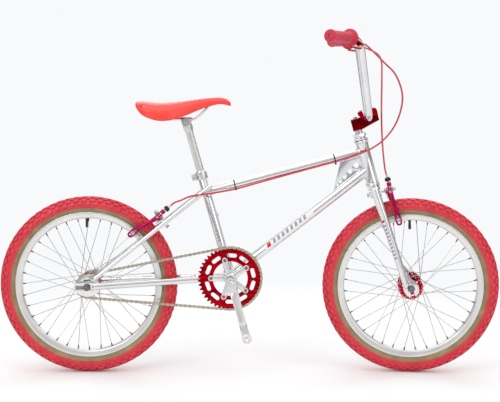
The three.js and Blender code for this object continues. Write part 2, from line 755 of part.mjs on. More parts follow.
function leverClamp() {
  const band = pipe(v3(0, -9, 0), v3(0, 9, 0), 14.8, BAR_RADIUS + CLEARANCE, FINE);
  const arm = block(24, 18, 13, 25, 0, 0);
  const bore = rod(v3(0, -20, 0), v3(0, 20, 0), 13, 13, ROUND);
  const barrel = rod(v3(28, -20, 0), v3(28, -8, 0), 4.5, 4.5, SMALL);
  const jaw = block(30, 18, 7.2, 38, 6.6, 0);
  const cableWay = rod(v3(28, -30, 0), v3(28, 2, 0), 1.4, 1.4, SMALL);
  return cut(union(band, arm.subtract(bore), barrel), jaw, cableWay);
}

function leverBlade() {
  const path = [[31, 4], [38, 20], [46, 36], [47, 62], [43, 92]];
  const parts = [];
  for (let i = 0; i + 1 < path.length; i++) {
    const [[ax, ay], [bx, by]] = [path[i], path[i + 1]];
    const half = 5.5 - i * 0.5;
    const segment = new THREE.ExtrudeGeometry(obround(ax, ay, bx, by, half), {
      depth: 6,
      bevelEnabled: false,
      curveSegments: 2,
    });
    segment.translate(0, 0, -3);
    parts.push(solid(segment));
  }
  return union(...parts);
}

const levers = {};
for (const [side, name] of [[1, "left"], [-1, "right"]]) {
  const { mirror, lever } = barSide(side);
  levers[name] = lever;
  addNode("grip_" + name, grip(), redVinyl, mirror);
  addNode("lever_clamp_" + name, leverClamp(), redAnodised, lever);
  addNode("lever_blade_" + name, leverBlade(), redAnodised, lever);
}

// ---------- brakes ----------
// A brake is drawn round its pivot: x points away from the bridge or crown, z away from the wheel.
const RIM_CLEAR = RIM_HALF_WIDTH + PAD_GAP;
const ARM_THICKNESS = 6.6;
const ADJUSTER_TOP = 40; // height of the cable adjuster's mouth above the pivot
const ADJUSTER_REACH = 1.5 * ARM_THICKNESS + CLEARANCE; // from the first arm's face to the adjuster
const FRONT_STANDOFF = 34;
const REAR_STANDOFF = 17;

// A flat strap through points [y, z], as thick as the given range of x.
function strap(points, halfWidth, low, high) {
  const links = [];
  for (let i = 0; i + 1 < points.length; i++)
    links.push(sidePlate(obround(...points[i], ...points[i + 1], halfWidth), low, high, 1));
  return union(...links);
}

// The slotted end of an arm, which holds the pad's stud beside the rim.
function padLoop(side, padX, padZ, from) {
  const [low, high] = side > 0 ? [30, 36] : [-36, -30];
  const loop = plate(obround(padX, padZ - 9, padX, padZ + 12, 9), low, high, 4);
  const slot = plate(obround(padX, padZ - 9, padX, padZ + 8, 3.8), low - 1, high + 1, 2);
  const shank = strap([[side * 33, from], [side * 33, padZ + 22]], 3, padX - 12, padX - 2);
  return cut(union(loop, shank), slot);
}

function brake(name, place, { standoff, padX, padZ, nutX }) {
  const layer = (i) => standoff + i * (ARM_THICKNESS + CLEARANCE);
  const rear = [layer(0), layer(0) + ARM_THICKNESS];
  const front = [layer(1), layer(1) + ARM_THICKNESS];
  const adjusterX = standoff + ADJUSTER_REACH;
  const eye = (x) => rod(v3(x - 30, 0, 0), v3(x + 40, 0, 0), 3.4, 3.4, SMALL);

  // Squeezing draws the two right-hand ends together: the C arm's end holds the inner wire
  // and swings up, the Y arm's end stops the housing and swings down.
  const cArm = union(
    strap([[-30, -3], [-14, 2], [0, 0], [20, -2], [33, -16], [33, -30]], 6, ...rear),
    padLoop(1, padX, padZ, -30),
    strap([[33, -28], [33, padZ + 24]], 3, Math.min(rear[0], padX - 12), padX + 2),
  );
  const yArm = union(
    strap([[0, 0], [-20, -2], [-33, -16], [-33, -30]], 6, ...front),
    strap([[-27, 20], [-14, 8], [0, 0]], 6, ...front),
    rod(v3(adjusterX, -27, 14), v3(adjusterX, -27, ADJUSTER_TOP), 4, 4, SMALL),
    padLoop(-1, padX, padZ, -30),
    strap([[-33, -28], [-33, padZ + 24]], 3, padX - 12, Math.max(front[1], padX + 2)),
  );
  addNode(name + "_brake_arm_c", cut(cArm, eye(rear[0])), pinkAnodised, place);
  addNode(name + "_brake_arm_y", cut(yArm, eye(front[0])), pinkAnodised, place);

  const head = front[1] + CLEARANCE;
  const bolt = union(
    rod(v3(nutX, 0, 0), v3(head + 12, 0, 0), 3, 3, SMALL),
    rod(v3(head, 0, 0), v3(head + 6, 0, 0), 7, 7, SMALL),
    rod(v3(nutX, 0, 0), v3(nutX + 6, 0, 0), 6.5, 6.5, SMALL),
    rod(v3(standoff - 7, 0, 0), v3(standoff - CLEARANCE, 0, 0), 7.5, 7.5, ROUND),
  );
  addNode(name + "_brake_bolt", bolt, polished, place);

  for (const [side, hand] of [[1, "left"], [-1, "right"]]) {
    const spread = (y) => side * y;
    const rubber = block(46, 12, 11, padX, spread(RIM_CLEAR + 6), padZ);
    const stud = rod(v3(padX, spread(RIM_CLEAR + 8), padZ), v3(padX, spread(43), padZ), 3, 3, SMALL);
    const nut = rod(v3(padX, spread(36.3), padZ), v3(padX, spread(41), padZ), 6, 6, SMALL);
    addNode(name + "_brake_pad_" + hand, union(rubber, stud, nut), padRubber, place);
  }
}

const frontBrake = new THREE.Group();
frontBrake.position.set(0, 0, -BRAKE_BOLT_DROP);
steered.add(frontBrake);
const padHeight = (padX, axleX, axleZ) => axleZ + Math.sqrt(200 ** 2 - (padX - axleX) ** 2);
brake("front", frontBrake, {
  standoff: FRONT_STANDOFF,
  padX: 44,
  padZ: padHeight(44, FORK_RAKE, BRAKE_BOLT_DROP - AXLE_BELOW_HEAD),
  nutX: -24,
});

const rearBrake = new THREE.Group();
rearBrake.position.copy(bridgeCentre);
rearBrake.quaternion.setFromRotationMatrix(
  new THREE.Matrix4().makeBasis(brakeFacing, v3(0, -1, 0), awayFromWheel),
);
rearBrake.scale.y = -1; // both brakes take their cable on the rider's right
bicycle.add(rearBrake);
const axleFromBridge = rearAxle.clone().sub(bridgeCentre);
brake("rear", rearBrake, {
  standoff: REAR_STANDOFF,
  padX: 34,
  padZ: padHeight(34, axleFromBridge.dot(brakeFacing), axleFromBridge.dot(awayFromWheel)),
  nutX: -18,
});

// ---------- wheels ----------
const WHEEL_SEGMENTS = 32;
const mirrored = (profile) => profile.map(([r, y]) => [r, -y]).reverse();

function tyre() {
  const tread = [[203.4, 12.4], [210, 12.4], [228, TYRE_HALF_WIDTH], [245, 21], [TYRE_RADIUS, 7]];
  const lining = [[249, 8], [230, 20], [209, 9.4], [203.4, 8.5]];
  return wheel([...tread, ...mirrored(tread), ...mirrored(lining), ...lining], WHEEL_SEGMENTS);
}

function rim() {
  const well = [[RIM_RADIUS, RIM_HALF_WIDTH], [RIM_RADIUS, 12.8], [202.5, 12.8], [196, 6]];
  const under = [[RIM_INNER_RADIUS, 11]];
  return wheel([...well, ...mirrored(well), ...mirrored(under), ...under], WHEEL_SEGMENTS);
}

// One side's spokes. Neighbours lean opposite ways and pass each other without touching;
// their heads lie in one ring beside the hub's flange.
function spokes(side, flangeRadius, flangeY) {
  const point = (angle, r, y) => v3(r * Math.sin(angle), side * y, r * Math.cos(angle));
  const heads = wheel(
    [[flangeRadius - 2, 0], [flangeRadius + 1, 0], [flangeRadius + 1, 5], [flangeRadius - 2, 5]],
    SPOKES_PER_SIDE,
  );
  const wires = [];
  for (let i = 0; i < SPOKES_PER_SIDE; i++) {
    const at = (i * 2 * Math.PI) / SPOKES_PER_SIDE;
    const outside = i % 2;
    const lean = outside ? SPOKE_CROSSING : -SPOKE_CROSSING;
    const head = point(at, flangeRadius, flangeY + 1 + 3 * outside);
    const nipple = point(at + lean, RIM_INNER_RADIUS - 2.2, 2.2 + 3 * outside);
    wires.push(rod(head, nipple, SPOKE_RADIUS, SPOKE_RADIUS, 3));
  }
  return union(heads.translate([0, side > 0 ? flangeY : -flangeY - 5, 0]), ...wires);
}

function hub(flangeRadius, rightFlange, leftFlange, rightEnd, leftEnd) {
  const bore = 5.3;
  return wheel(
    [[bore, rightEnd], [9, rightEnd], [11, rightFlange - 6], [flangeRadius, rightFlange - 3],
      [flangeRadius, rightFlange], [13, rightFlange + 4], [13, leftFlange - 4],
      [flangeRadius, leftFlange], [flangeRadius, leftFlange + 3], [11, leftFlange + 6],
      [9, leftEnd], [bore, leftEnd]],
    ROUND,
  );
}

// The axle with its nuts: it is clamped in the dropouts and carries the hub.
function axle(face, thickness, reach) {
  const parts = [rod(v3(0, -reach, 0), v3(0, reach, 0), AXLE_RADIUS, AXLE_RADIUS, SMALL)];
  for (const side of [1, -1]) {
    const nutFrom = side * (face + thickness + CLEARANCE);
    parts.push(rod(v3(0, nutFrom, 0), v3(0, nutFrom + side * 1.6, 0), 10.5, 10.5, SMALL));
    parts.push(rod(v3(0, nutFrom, 0), v3(0, nutFrom + side * 9, 0), 9, 9, 6));
    parts.push(rod(v3(0, side * (face - CLEARANCE), 0), v3(0, side * (face - 6), 0), 8.5, 8.5, 6));
  }
  return union(...parts);
}

function addWheel(name, place, { flangeRadius, rightFlange, leftFlange, rightEnd, leftEnd }) {
  addNode(name + "_tyre", tyre(), redRubber, place);
  addNode(name + "_rim", rim(), polished, place);
  addNode(name + "_hub", hub(flangeRadius, rightFlange, leftFlange, rightEnd, leftEnd),
    redAnodised, place);
  const holes = flangeRadius - 4;
  addNode(name + "_spokes_left", spokes(1, holes, leftFlange + 6), polished, place);
  addNode(name + "_spokes_right", spokes(-1, holes, -rightFlange + 6), polished, place);
}

const frontWheel = new THREE.Group();
frontWheel.position.copy(frontAxle);
steered.add(frontWheel);
addWheel("front", frontWheel,
  { flangeRadius: 35, rightFlange: -30, leftFlange: 30, rightEnd: -42, leftEnd: 42 });
addNode("front_axle", axle(FORK_FACE, 5, 66), polished, frontWheel);

const rearWheel = new THREE.Group();
rearWheel.position.copy(rearAxle);
bicycle.add(rearWheel);
addWheel("rear", rearWheel,
  { flangeRadius: 30, rightFlange: -25, leftFlange: 31, rightEnd: -33, leftEnd: 46 });
addNode("rear_axle", axle(DROPOUT_FACE, DROPOUT_THICKNESS, 74), polished, rearWheel);

// ---------- drive ----------
const pitchRadius = (teeth) => PITCH / (2 * Math.sin(Math.PI / teeth));

// A sprocket's outline: a round seat for each roller with a short tooth between seats.
function sprocketShape(teeth) {
  const root = pitchRadius(teeth) - 3.9;
  const tip = pitchRadius(teeth) + 3.3;
  const shape = new THREE.Shape();
  for (let i = 0; i < teeth; i++) {
    const at = ((i + 0.5) * 2 * Math.PI) / teeth;
    const step = (2 * Math.PI) / teeth;
    const corners = [[-0.5, root], [0, tip]];
    for (const [share, r] of corners) {
      const angle = at + share * step;
      const [x, z] = [r * Math.cos(angle), r * Math.sin(angle)];
      if (i === 0 && share === corners[0][0]) shape.moveTo(x, z);
      else shape.lineTo(x, z);
    }
  }
  return shape;
}

const spiderAngle = (i) => (34.6 + i * 72) * DEG;

function chainring() {
  const shape = sprocketShape(RING_TEETH);
  shape.holes.push(new THREE.Path(circle(49.5, 30)));
  for (let i = 0; i < 5; i++)
    for (const turn of [-20.4, 20.4]) {
      const at = spiderAngle(i) + turn * DEG;
      const [cx, cz] = [66.5 * Math.cos(at), 66.5 * Math.sin(at)];
      const [dx, dz] = [-8.5 * Math.sin(at), 8.5 * Math.cos(at)];
      shape.holes.push(obround(cx - dx, cz - dz, cx + dx, cz + dz, 5.6));
    }
  return plate(shape, CHAIN_Y - 1.4, CHAIN_Y + 1.4, 2).translate([BRACKET_X, 0, BRACKET_Z]);
}

// The crank's line, from the bracket's centre to the pedal hole of the right crank.
const crankLine = v3(Math.sin(CRANK_TURN), 0, -Math.cos(CRANK_TURN));

function crankArm(side, ...extras) {
  const pedal = bracket.clone().addScaledVector(crankLine, -side * CRANK_LENGTH);
  const boss = rod(sideways(bracket, side * 47), sideways(bracket, side * 66), 17, 15, FINE);
  const arm = tapered(side, 0, CRANK_LENGTH);
  const eye = rod(sideways(pedal, side * 66), sideways(pedal, side * 79), 14, 13.5, ROUND);
  const hole = rod(sideways(pedal, side * 50), sideways(pedal, side * 90), 7.2, 7.2, ROUND);
  const socket = rod(sideways(bracket, side * 40), sideways(bracket, side * 58), 8.4, 8.4, ROUND);
  const boltWell = rod(sideways(bracket, side * 62), sideways(bracket, side * 70), 10.5, 10.5, ROUND);
  return cut(union(boss, arm, eye, ...extras), hole, socket, boltWell);
}

// The arm's blade: deep at the bracket, slimmer at the pedal, and leaning outward.
function tapered(side, from, to) {
  const half = [[from, 14, 50, 64], [to * 0.5, 10.5, 58, 69], [to, 11, 67, 78]];
  const across = v3(-crankLine.z, 0, crankLine.x);
  const loops = half.map(([s, w, inner, outer]) => {
    const centre = bracket.clone().addScaledVector(crankLine, -side * s);
    const corner = (t, y) => sideways(centre.clone().addScaledVector(across, t * w), side * y);
    return [corner(1, inner), corner(1, outer), corner(-1, outer), corner(-1, inner)];
  });
  return solid(stitched(loops));
}

function spider() {
  const arms = [];
  for (let i = 0; i < 5; i++) {
    const [c, s] = [Math.cos(spiderAngle(i)), Math.sin(spiderAngle(i))];
    arms.push(
      plate(obround(0, 0, BOLT_CIRCLE * c, BOLT_CIRCLE * s, 8), CHAIN_Y - 8, CHAIN_Y - 1.8, 2),
    );
  }
  return union(...arms).translate([BRACKET_X, 0, BRACKET_Z]);
}

function spindle() {
  return rod(sideways(bracket, -57), sideways(bracket, 57), 8.1, 8.1, ROUND);
}

function freewheel() {
  const teeth = plate(sprocketShape(FREEWHEEL_TEETH), CHAIN_Y - 1.4, CHAIN_Y + 1.4);
  const body = rod(v3(0, CHAIN_Y - 6, 0), v3(0, CHAIN_Y + 6, 0), 24, 24, FINE);
  const bore = rod(v3(0, -60, 0), v3(0, -20, 0), 9.4, 9.4, ROUND);
  return cut(union(teeth, body), bore);
}

// The chain's loop round both sprockets, moved outward by an offset from the pitch line.
function chainLoop(offset) {
  const big = pitchRadius(RING_TEETH);
  const small = pitchRadius(FREEWHEEL_TEETH);
  const [dx, dz] = [BRACKET_X, BRACKET_Z - rearAxle.z];
  const line = Math.atan2(dz, dx);
  const wrap = Math.acos((small - big) / Math.hypot(dx, dz));
  const shape = new THREE.Shape();
  shape.absarc(dx, dz, big + offset, line - wrap, line + wrap, false);
  shape.absarc(0, 0, small + offset, line + wrap, line - wrap + 2 * Math.PI, false);
  return { shape, line, wrap, big, small, span: Math.hypot(dx, dz) * Math.sin(wrap) };
}

function chain() {
  const side = (low, high) => {
    const shape = chainLoop(4.1).shape;
    shape.holes.push(new THREE.Path(chainLoop(-4.1).shape.getPoints(8).reverse()));
    return plate(shape, CHAIN_Y + low, CHAIN_Y + high, 8);
  };
  // Rollers join the two rows of plates where the chain runs free of the sprockets.
  const { line, wrap, small, span } = chainLoop(0);
  const rollers = [];
  for (const turn of [wrap, -wrap]) {
    const normal = v3(Math.cos(line + turn), 0, Math.sin(line + turn));
    const tangent = v3(Math.cos(line + turn - Math.sign(turn) * Math.PI / 2), 0,
      Math.sin(line + turn - Math.sign(turn) * Math.PI / 2));
    for (let s = 4 * PITCH; s < span - 3 * PITCH; s += 10 * PITCH) {
      const spot = normal.clone().multiplyScalar(small).addScaledVector(tangent, s);
      rollers.push(rod(sideways(spot, CHAIN_Y - 4.4), sideways(spot, CHAIN_Y + 4.4), 3.8, 3.8, 4));
    }
  }
  return union(side(-3.6, -2), side(2, 3.6), ...rollers)
    .translate([rearAxle.x, 0, rearAxle.z]);
}

addNode("chain", chain(), chainSteel);
addNode("chainring", chainring(), redAnodised);
addNode("crank_arm_right", crankArm(-1, spider()), polished);
addNode("crank_arm_left", crankArm(1), polished);
addNode("crank_spindle", spindle(), satin);
addNode("rear_freewheel", freewheel(), satin, rearWheel);

// ---------- brake cables ----------
// The housings are drawn in the bicycle's frame, through points along their real route.
const HOUSING_RADIUS = 2.5;

// A point of a nested group, in the frame that the other pieces are drawn in.
function inFrame(group, x, y, z) {
  bicycle.updateMatrixWorld(true);
  return group.localToWorld(v3(x, y, z)).sub(bicycle.position);
}

function housing(points, step) {
  const curve = new THREE.CatmullRomCurve3(points, false, "centripetal");
  const stops = curve.getSpacedPoints(Math.ceil(curve.getLength() / step));
  return swept(new Route(stops, 0, 0), HOUSING_RADIUS, 0, 8);
}

const leverExits = (lever) => [inFrame(lever, 28, -20.6, 0), inFrame(lever, 28.5, -34, 0)];
const adjusterTop = (place, standoff) => [
  inFrame(place, standoff + ADJUSTER_REACH, -27, 60),
  inFrame(place, standoff + ADJUSTER_REACH, -27, ADJUSTER_TOP + CLEARANCE),
];

// The loop swings with the bar at its upper end and lies still on the top tube at its lower end.
const underTopTube = v3(707, -14, 612.7);
addNode(
  "rear_brake_cable_loop",
  housing(
    [
      ...leverExits(levers.right),
      v3(827, -106, 888),
      v3(857, -84, 862),
      v3(877, -66, 827),
      v3(886, -51, 791),
      v3(880, -39, 746),
      v3(863, -31, 706),
      v3(834, -27, 671),
      v3(801, -24.5, 648),
      v3(773, -22.5, 635.5),
      v3(744, -18, 624),
      underTopTube.clone().add(v3(1.2 * CLEARANCE, 0, CLEARANCE / 3)),
    ],
    16,
  ),
  redHousing,
);
addNode(
  "rear_brake_cable_run",
  housing(
    [
      underTopTube,
      v3(640, -13.5, 594),
      v3(574, -13.5, 575.5),
      v3(500, -13.5, 554.5),
      v3(420, -14, 532),
      v3(375, -24, 524),
      v3(335, -31.5, 518),
      v3(291, -33.5, 511.5),
      v3(262, -30, 499),
      ...adjusterTop(rearBrake, REAR_STANDOFF),
    ],
    20,
  ),
  redHousing,
);
addNode(
  "front_brake_cable",
  housing(
    [
      ...leverExits(levers.left),
      v3(836, 98, 919),
      v3(842, 76, 900),
      v3(840, 45, 845),
      v3(837, 20, 759),
      v3(837, 0, 688),
      v3(839, -14, 640),
      ...adjusterTop(frontBrake, FRONT_STANDOFF),
    ],
    17,
  ),
  redHousing,
);

export default bicycle;
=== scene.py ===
"""A 20-inch BMX bicycle in chrome plate with red anodised parts, on a pale studio floor.

Each section makes one group of pieces. Pieces are drawn in millimetres, in the frame in which the
rear axle stands at x = 0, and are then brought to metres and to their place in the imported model.
"""
from math import acos, atan2, ceil, cos, hypot, pi, radians, sin, sqrt, tau

import bmesh
import bpy
from mathutils import Matrix, Vector


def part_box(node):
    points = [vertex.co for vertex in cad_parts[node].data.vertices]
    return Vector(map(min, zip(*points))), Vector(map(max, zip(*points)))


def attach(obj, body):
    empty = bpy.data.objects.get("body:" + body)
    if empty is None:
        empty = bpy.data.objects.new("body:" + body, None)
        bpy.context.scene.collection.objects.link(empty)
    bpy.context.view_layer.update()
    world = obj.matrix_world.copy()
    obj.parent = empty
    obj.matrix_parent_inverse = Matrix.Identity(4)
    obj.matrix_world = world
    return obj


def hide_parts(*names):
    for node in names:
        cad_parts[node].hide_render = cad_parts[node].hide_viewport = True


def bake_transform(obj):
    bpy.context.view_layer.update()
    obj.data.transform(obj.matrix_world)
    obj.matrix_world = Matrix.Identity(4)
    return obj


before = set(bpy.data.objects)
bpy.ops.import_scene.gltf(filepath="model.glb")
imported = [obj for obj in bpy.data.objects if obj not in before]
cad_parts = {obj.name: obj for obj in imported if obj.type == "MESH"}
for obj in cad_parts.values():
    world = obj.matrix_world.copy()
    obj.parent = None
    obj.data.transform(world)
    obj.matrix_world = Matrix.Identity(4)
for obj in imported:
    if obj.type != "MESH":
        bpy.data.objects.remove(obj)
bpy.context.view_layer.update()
scene = bpy.context.scene


# ---------- studio ----------
# A pale floor that runs out into an even white, lit by large soft boxes, with a camera at
# the height of the handlebar that looks a little down at the bicycle's right side.
def linear(hex_colour):
    """An sRGB colour such as "#c8c8cc" as linear red, green, blue and alpha."""
    parts = [int(hex_colour[i : i + 2], 16) / 255 for i in (1, 3, 5)]
    straight = [c / 12.92 if c <= 0.04045 else ((c + 0.055) / 1.055) ** 2.4 for c in parts]
    return (*straight, 1.0)


def add(tree, kind, settings=None, links=None):
    """Adds a node, sets its values by name and links its inputs."""
    node = tree.nodes.new(kind)
    for key, value in (settings or {}).items():
        if isinstance(key, int) or key in node.inputs:
            node.inputs[key].default_value = value
        else:
            setattr(node, key, value)
    for key, source in (links or {}).items():
        tree.links.new(source, node.inputs[key])
    return node


def ramp(node, *stops):
    """Gives a colour ramp its stops, each a position and a colour."""
    band = node.color_ramp
    while len(band.elements) < len(stops):
        band.elements.new(0.5)
    for element, (place, colour) in zip(band.elements, stops):
        element.position = place
        element.color = colour
    return node


CAMERA_PLACE = Vector((-0.0784, -3.2410, 0.7884))
CAMERA_TURN = radians(1.345)  # to the bicycle's front
CAMERA_DROP = radians(5.152)
CAMERA_ROLL = radians(0.416)
SENSOR_WIDTH = 36  # millimetres, as is the lens's focal length
LENS = 81.7
BACKDROP_WHITE = linear("#f8f9fb")
camera_data = bpy.data.cameras.new("camera")
camera_data.sensor_width = SENSOR_WIDTH
camera_data.lens = LENS
camera = bpy.data.objects.new("camera", camera_data)
scene.collection.objects.link(camera)
ahead = Vector((
    sin(CAMERA_TURN) * cos(CAMERA_DROP),
    cos(CAMERA_TURN) * cos(CAMERA_DROP),
    -sin(CAMERA_DROP),
))
level = Vector((cos(CAMERA_TURN), -sin(CAMERA_TURN), 0))
right = level * cos(CAMERA_ROLL) + level.cross(ahead) * sin(CAMERA_ROLL)
camera.matrix_world = Matrix.Translation(CAMERA_PLACE) @ Matrix(
    (right, right.cross(ahead), -ahead)
).transposed().to_4x4()
scene.camera = camera
scene.view_settings.view_transform = "Standard"


def studio_air():
    """An even white all round, a little darker at eye height so that chrome shows its roundness."""
    world = bpy.data.worlds.new("studio air")
    scene.world = world
    world.use_nodes = True
    tree = world.node_tree
    tree.nodes.clear()
    place = add(tree, "ShaderNodeTexCoord")
    split = add(tree, "ShaderNodeSeparateXYZ", links={"Vector": place.outputs["Generated"]})
    height = add(tree, "ShaderNodeMapRange", {"From Min": -1.0, "From Max": 1.0},
                 {"Value": split.outputs["Z"]})
    room = ramp(
        add(tree, "ShaderNodeValToRGB", links={"Fac": height.outputs["Result"]}),
        (0.0, (0.60, 0.60, 0.61, 1)),
        (0.40, (0.70, 0.70, 0.71, 1)),
        (0.46, (0.34, 0.34, 0.35, 1)),
        (0.55, (0.42, 0.42, 0.43, 1)),
        (0.64, (0.80, 0.80, 0.81, 1)),
        (1.0, (0.95, 0.95, 0.96, 1)),
    )
    sight = add(tree, "ShaderNodeLightPath")
    seen = add(tree, "ShaderNodeBackground", {"Color": BACKDROP_WHITE, "Strength": 1.0})
    cast = add(tree, "ShaderNodeBackground", {"Strength": 0.85}, {"Color": room.outputs["Color"]})
    mixed = add(tree, "ShaderNodeMixShader", links={
        0: sight.outputs["Is Camera Ray"], 1: cast.outputs[0], 2: seen.outputs[0]})
    add(tree, "ShaderNodeOutputWorld", links={"Surface": mixed.outputs[0]})


def soft_box(name, place, aim_at, size, power):
    """A rectangular lamp of a width and height in metres and a power in watts."""
    data = bpy.data.lights.new(name, "AREA")
    data.shape = "RECTANGLE"
    data.size, data.size_y = size
    data.energy = power
    lamp = bpy.data.objects.new(name, data)
    lamp.location = place
    lamp.rotation_euler = (Vector(aim_at) - Vector(place)).to_track_quat("-Z", "Y").to_euler()
    scene.collection.objects.link(lamp)


FLOOR_RADIUS = 9.0
FADE_FROM, FADE_TO = 0.7, 1.9  # metres from the bicycle's middle


def studio_floor():
    """A round of white paper that fades into the backdrop's white away from the bicycle."""
    bm = bmesh.new()
    bmesh.ops.create_circle(bm, cap_ends=True, segments=96, radius=FLOOR_RADIUS)
    mesh = bpy.data.meshes.new("floor")
    bm.to_mesh(mesh)
    bm.free()
    floor = bpy.data.objects.new("floor", mesh)
    scene.collection.objects.link(floor)
    paper = bpy.data.materials.new("white paper")
    paper.use_nodes = True
    tree = paper.node_tree
    shader = tree.nodes["Principled BSDF"]
    shader.inputs["Base Color"].default_value = linear("#f4f4f4")
    shader.inputs["Roughness"].default_value = 0.8
    shader.inputs["Specular IOR Level"].default_value = 0.1
    place = add(tree, "ShaderNodeTexCoord")
    reach = add(tree, "ShaderNodeVectorMath", {"operation": "LENGTH"},
                {0: place.outputs["Object"]})
    fade = add(tree, "ShaderNodeMapRange",
               {"interpolation_type": "SMOOTHSTEP", "From Min": FADE_FROM, "From Max": FADE_TO},
               {"Value": reach.outputs["Value"]})
    glow = add(tree, "ShaderNodeEmission", {"Color": BACKDROP_WHITE, "Strength": 1.0})
    mixed = add(tree, "ShaderNodeMixShader",
                links={0: fade.outputs["Result"], 1: shader.outputs[0], 2: glow.outputs[0]})
    tree.links.new(mixed.outputs[0], tree.nodes["Material Output"].inputs["Surface"])
    mesh.materials.append(paper)


studio_air()
studio_floor()
soft_box("top box", (0.0, -0.2, 3.0), (0, 0, 0.3), (3.4, 2.4), 26)
soft_box("key box", (-1.9, -2.6, 2.4), (0, 0, 0.4), (2.2, 2.2), 34)
soft_box("fill box", (2.3, -2.4, 1.6), (0.2, 0, 0.4), (1.6, 2.2), 16)
soft_box("back box", (0.4, 2.6, 1.9), (0, 0, 0.5), (3.0, 1.4), 20)


# ---------- main frame ----------
# Drawn and welded chrome-molybdenum tubes, chromed all over: a diamond of round tubes, thin
# stays to the rear dropouts, a drilled gusset behind the head tube and small weld beads.
MM = 0.001
WHEELBASE = 926
TYRE_RADIUS = 254
HEAD_ANGLE = radians(16)
FORK_RAKE = 28
AXLE_BELOW_HEAD = 317
rear_low, rear_high = (Vector(corner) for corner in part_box("rear_tyre"))
BIKE = Matrix.Translation(((rear_low.x + rear_high.x) / 2, 0, rear_low.z)) @ Matrix.Scale(MM, 4)
SHARP = radians(34)


def aim(a, b):
    """The matrix that lays a shape drawn along Z, about its middle, on the line from a to b."""
    a, b = Vector(a), Vector(b)
    return Matrix.Translation((a + b) / 2) @ (b - a).to_track_quat("Z", "Y").to_matrix().to_4x4()


def rod(bm, a, b, radius, end_radius=None, sides=32, tall=1.0):
    """A closed round bar from a to b; tall stretches its section to an oval."""
    end_radius = radius if end_radius is None else end_radius
    bmesh.ops.create_cone(
        bm,
        cap_ends=True,
        segments=sides,
        radius1=radius,
        radius2=end_radius,
        depth=(Vector(b) - Vector(a)).length,
        matrix=aim(a, b) @ Matrix.Diagonal((1, tall, 1, 1)),
    )


def ball(bm, centre, radius, squash=(1, 1, 1), detail=16):
    bmesh.ops.create_uvsphere(
        bm,
        u_segments=detail,
        v_segments=detail // 2,
        radius=radius,
        matrix=Matrix.Translation(centre) @ Matrix.Diagonal((*squash, 1)),
    )


def block(bm, centre, size, turn=None):
    matrix = Matrix.Translation(centre) @ (turn or Matrix()) @ Matrix.Diagonal((*size, 1))
    return bmesh.ops.create_cube(bm, size=1, matrix=matrix)["verts"]


def turned(bm, a, b, profile, sides=48):
    """Spins a profile of (radius, distance from a) about the line from a towards b. A profile
    whose first and last points are alike is a ring; any other is closed on the axis."""
    a = Vector(a)
    axis = (Vector(b) - a).normalized()
    outward = axis.orthogonal().normalized()
    if profile[0] != profile[-1]:
        profile = [(0, profile[0][1]), *profile, (0, profile[-1][1])]
    verts = [bm.verts.new(a + axis * s + outward * r) for r, s in profile]
    edges = [bm.edges.new(pair) for pair in zip(verts, verts[1:])]
    bmesh.ops.spin(bm, geom=verts + edges, cent=a, axis=axis, dvec=(0, 0, 0), angle=tau,
                   steps=sides, use_merge=True, use_duplicate=False)


def washer(bm, a, b, inner, outer, height, sides):
    """A flat ring that stands on a and grows towards b."""
    turned(bm, a, b, [(inner, 0), (outer, 0), (outer, height), (inner, height), (inner, 0)], sides)


def keep_curve(bm, curve, matrix):
    """Turns a drawn curve into mesh and adds it to the piece."""
    drawing = bpy.data.objects.new("drawing", curve)
    mesh = bpy.data.meshes.new_from_object(drawing)
    mesh.transform(matrix)
    bm.from_mesh(mesh)
    bpy.data.objects.remove(drawing)
    bpy.data.meshes.remove(mesh)
    bpy.data.curves.remove(curve)


def swept(bm, points, radius, radii=None, closed=False, detail=3, matrix=None):
    """A round bar along a row of points; radii scale the radius at each point."""
    curve = bpy.data.curves.new("route", "CURVE")
    curve.dimensions = "3D"
    curve.bevel_depth = radius
    curve.bevel_resolution = detail
    curve.use_fill_caps = not closed
    spline = curve.splines.new("POLY")
    spline.points.add(len(points) - 1)
    for i, (point, place) in enumerate(zip(spline.points, points)):
        point.co = (*place, 1)
        point.radius = radii[i] if radii else 1
    spline.use_cyclic_u = closed
    keep_curve(bm, curve, matrix or Matrix())


def flat(bm, outlines, thickness, matrix, round_edge=0.0):
    """A plate cut to an outline of (u, v) points, with any further outlines as holes. The plate's
    middle lies in the plane of the matrix, and round_edge rounds its rims."""
    curve = bpy.data.curves.new("plate", "CURVE")
    curve.dimensions = "2D"
    curve.fill_mode = "BOTH"
    curve.extrude = thickness / 2 - round_edge
    curve.bevel_depth = round_edge
    curve.bevel_resolution = 1
    curve.offset = -round_edge
    for outline in outlines:
        spline = curve.splines.new("POLY")
        spline.points.add(len(outline) - 1)
        for point, (u, v) in zip(spline.points, outline):
            point.co = (u, v, 0, 1)
        spline.use_cyclic_u = True
    keep_curve(bm, curve, matrix)


def piece(name, bm, finish, body, nodes=(), place=None, sharp=SHARP, bevel=0):
    """Makes one object of a finished drawing, in its material, riding on its body."""
    bmesh.ops.remove_doubles(bm, verts=bm.verts, dist=0.002)
    bmesh.ops.transform(bm, matrix=place or BIKE, verts=bm.verts)
    bmesh.ops.recalc_face_normals(bm, faces=bm.faces)
    mesh = bpy.data.meshes.new(name)
    bm.to_mesh(mesh)
    bm.free()
    mesh.shade_smooth()
    mesh.set_sharp_from_angle(angle=sharp)
    mesh.materials.append(finish)
    made = bpy.data.objects.new(name, mesh)
    scene.collection.objects.link(made)
    if bevel:
        edges = made.modifiers.new("rounded edges", "BEVEL")
        edges.width = bevel * MM
        edges.segments = 2
        edges.limit_method = "ANGLE"
    if body:
        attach(made, body)
    if nodes:
        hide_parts(*nodes)
    return made


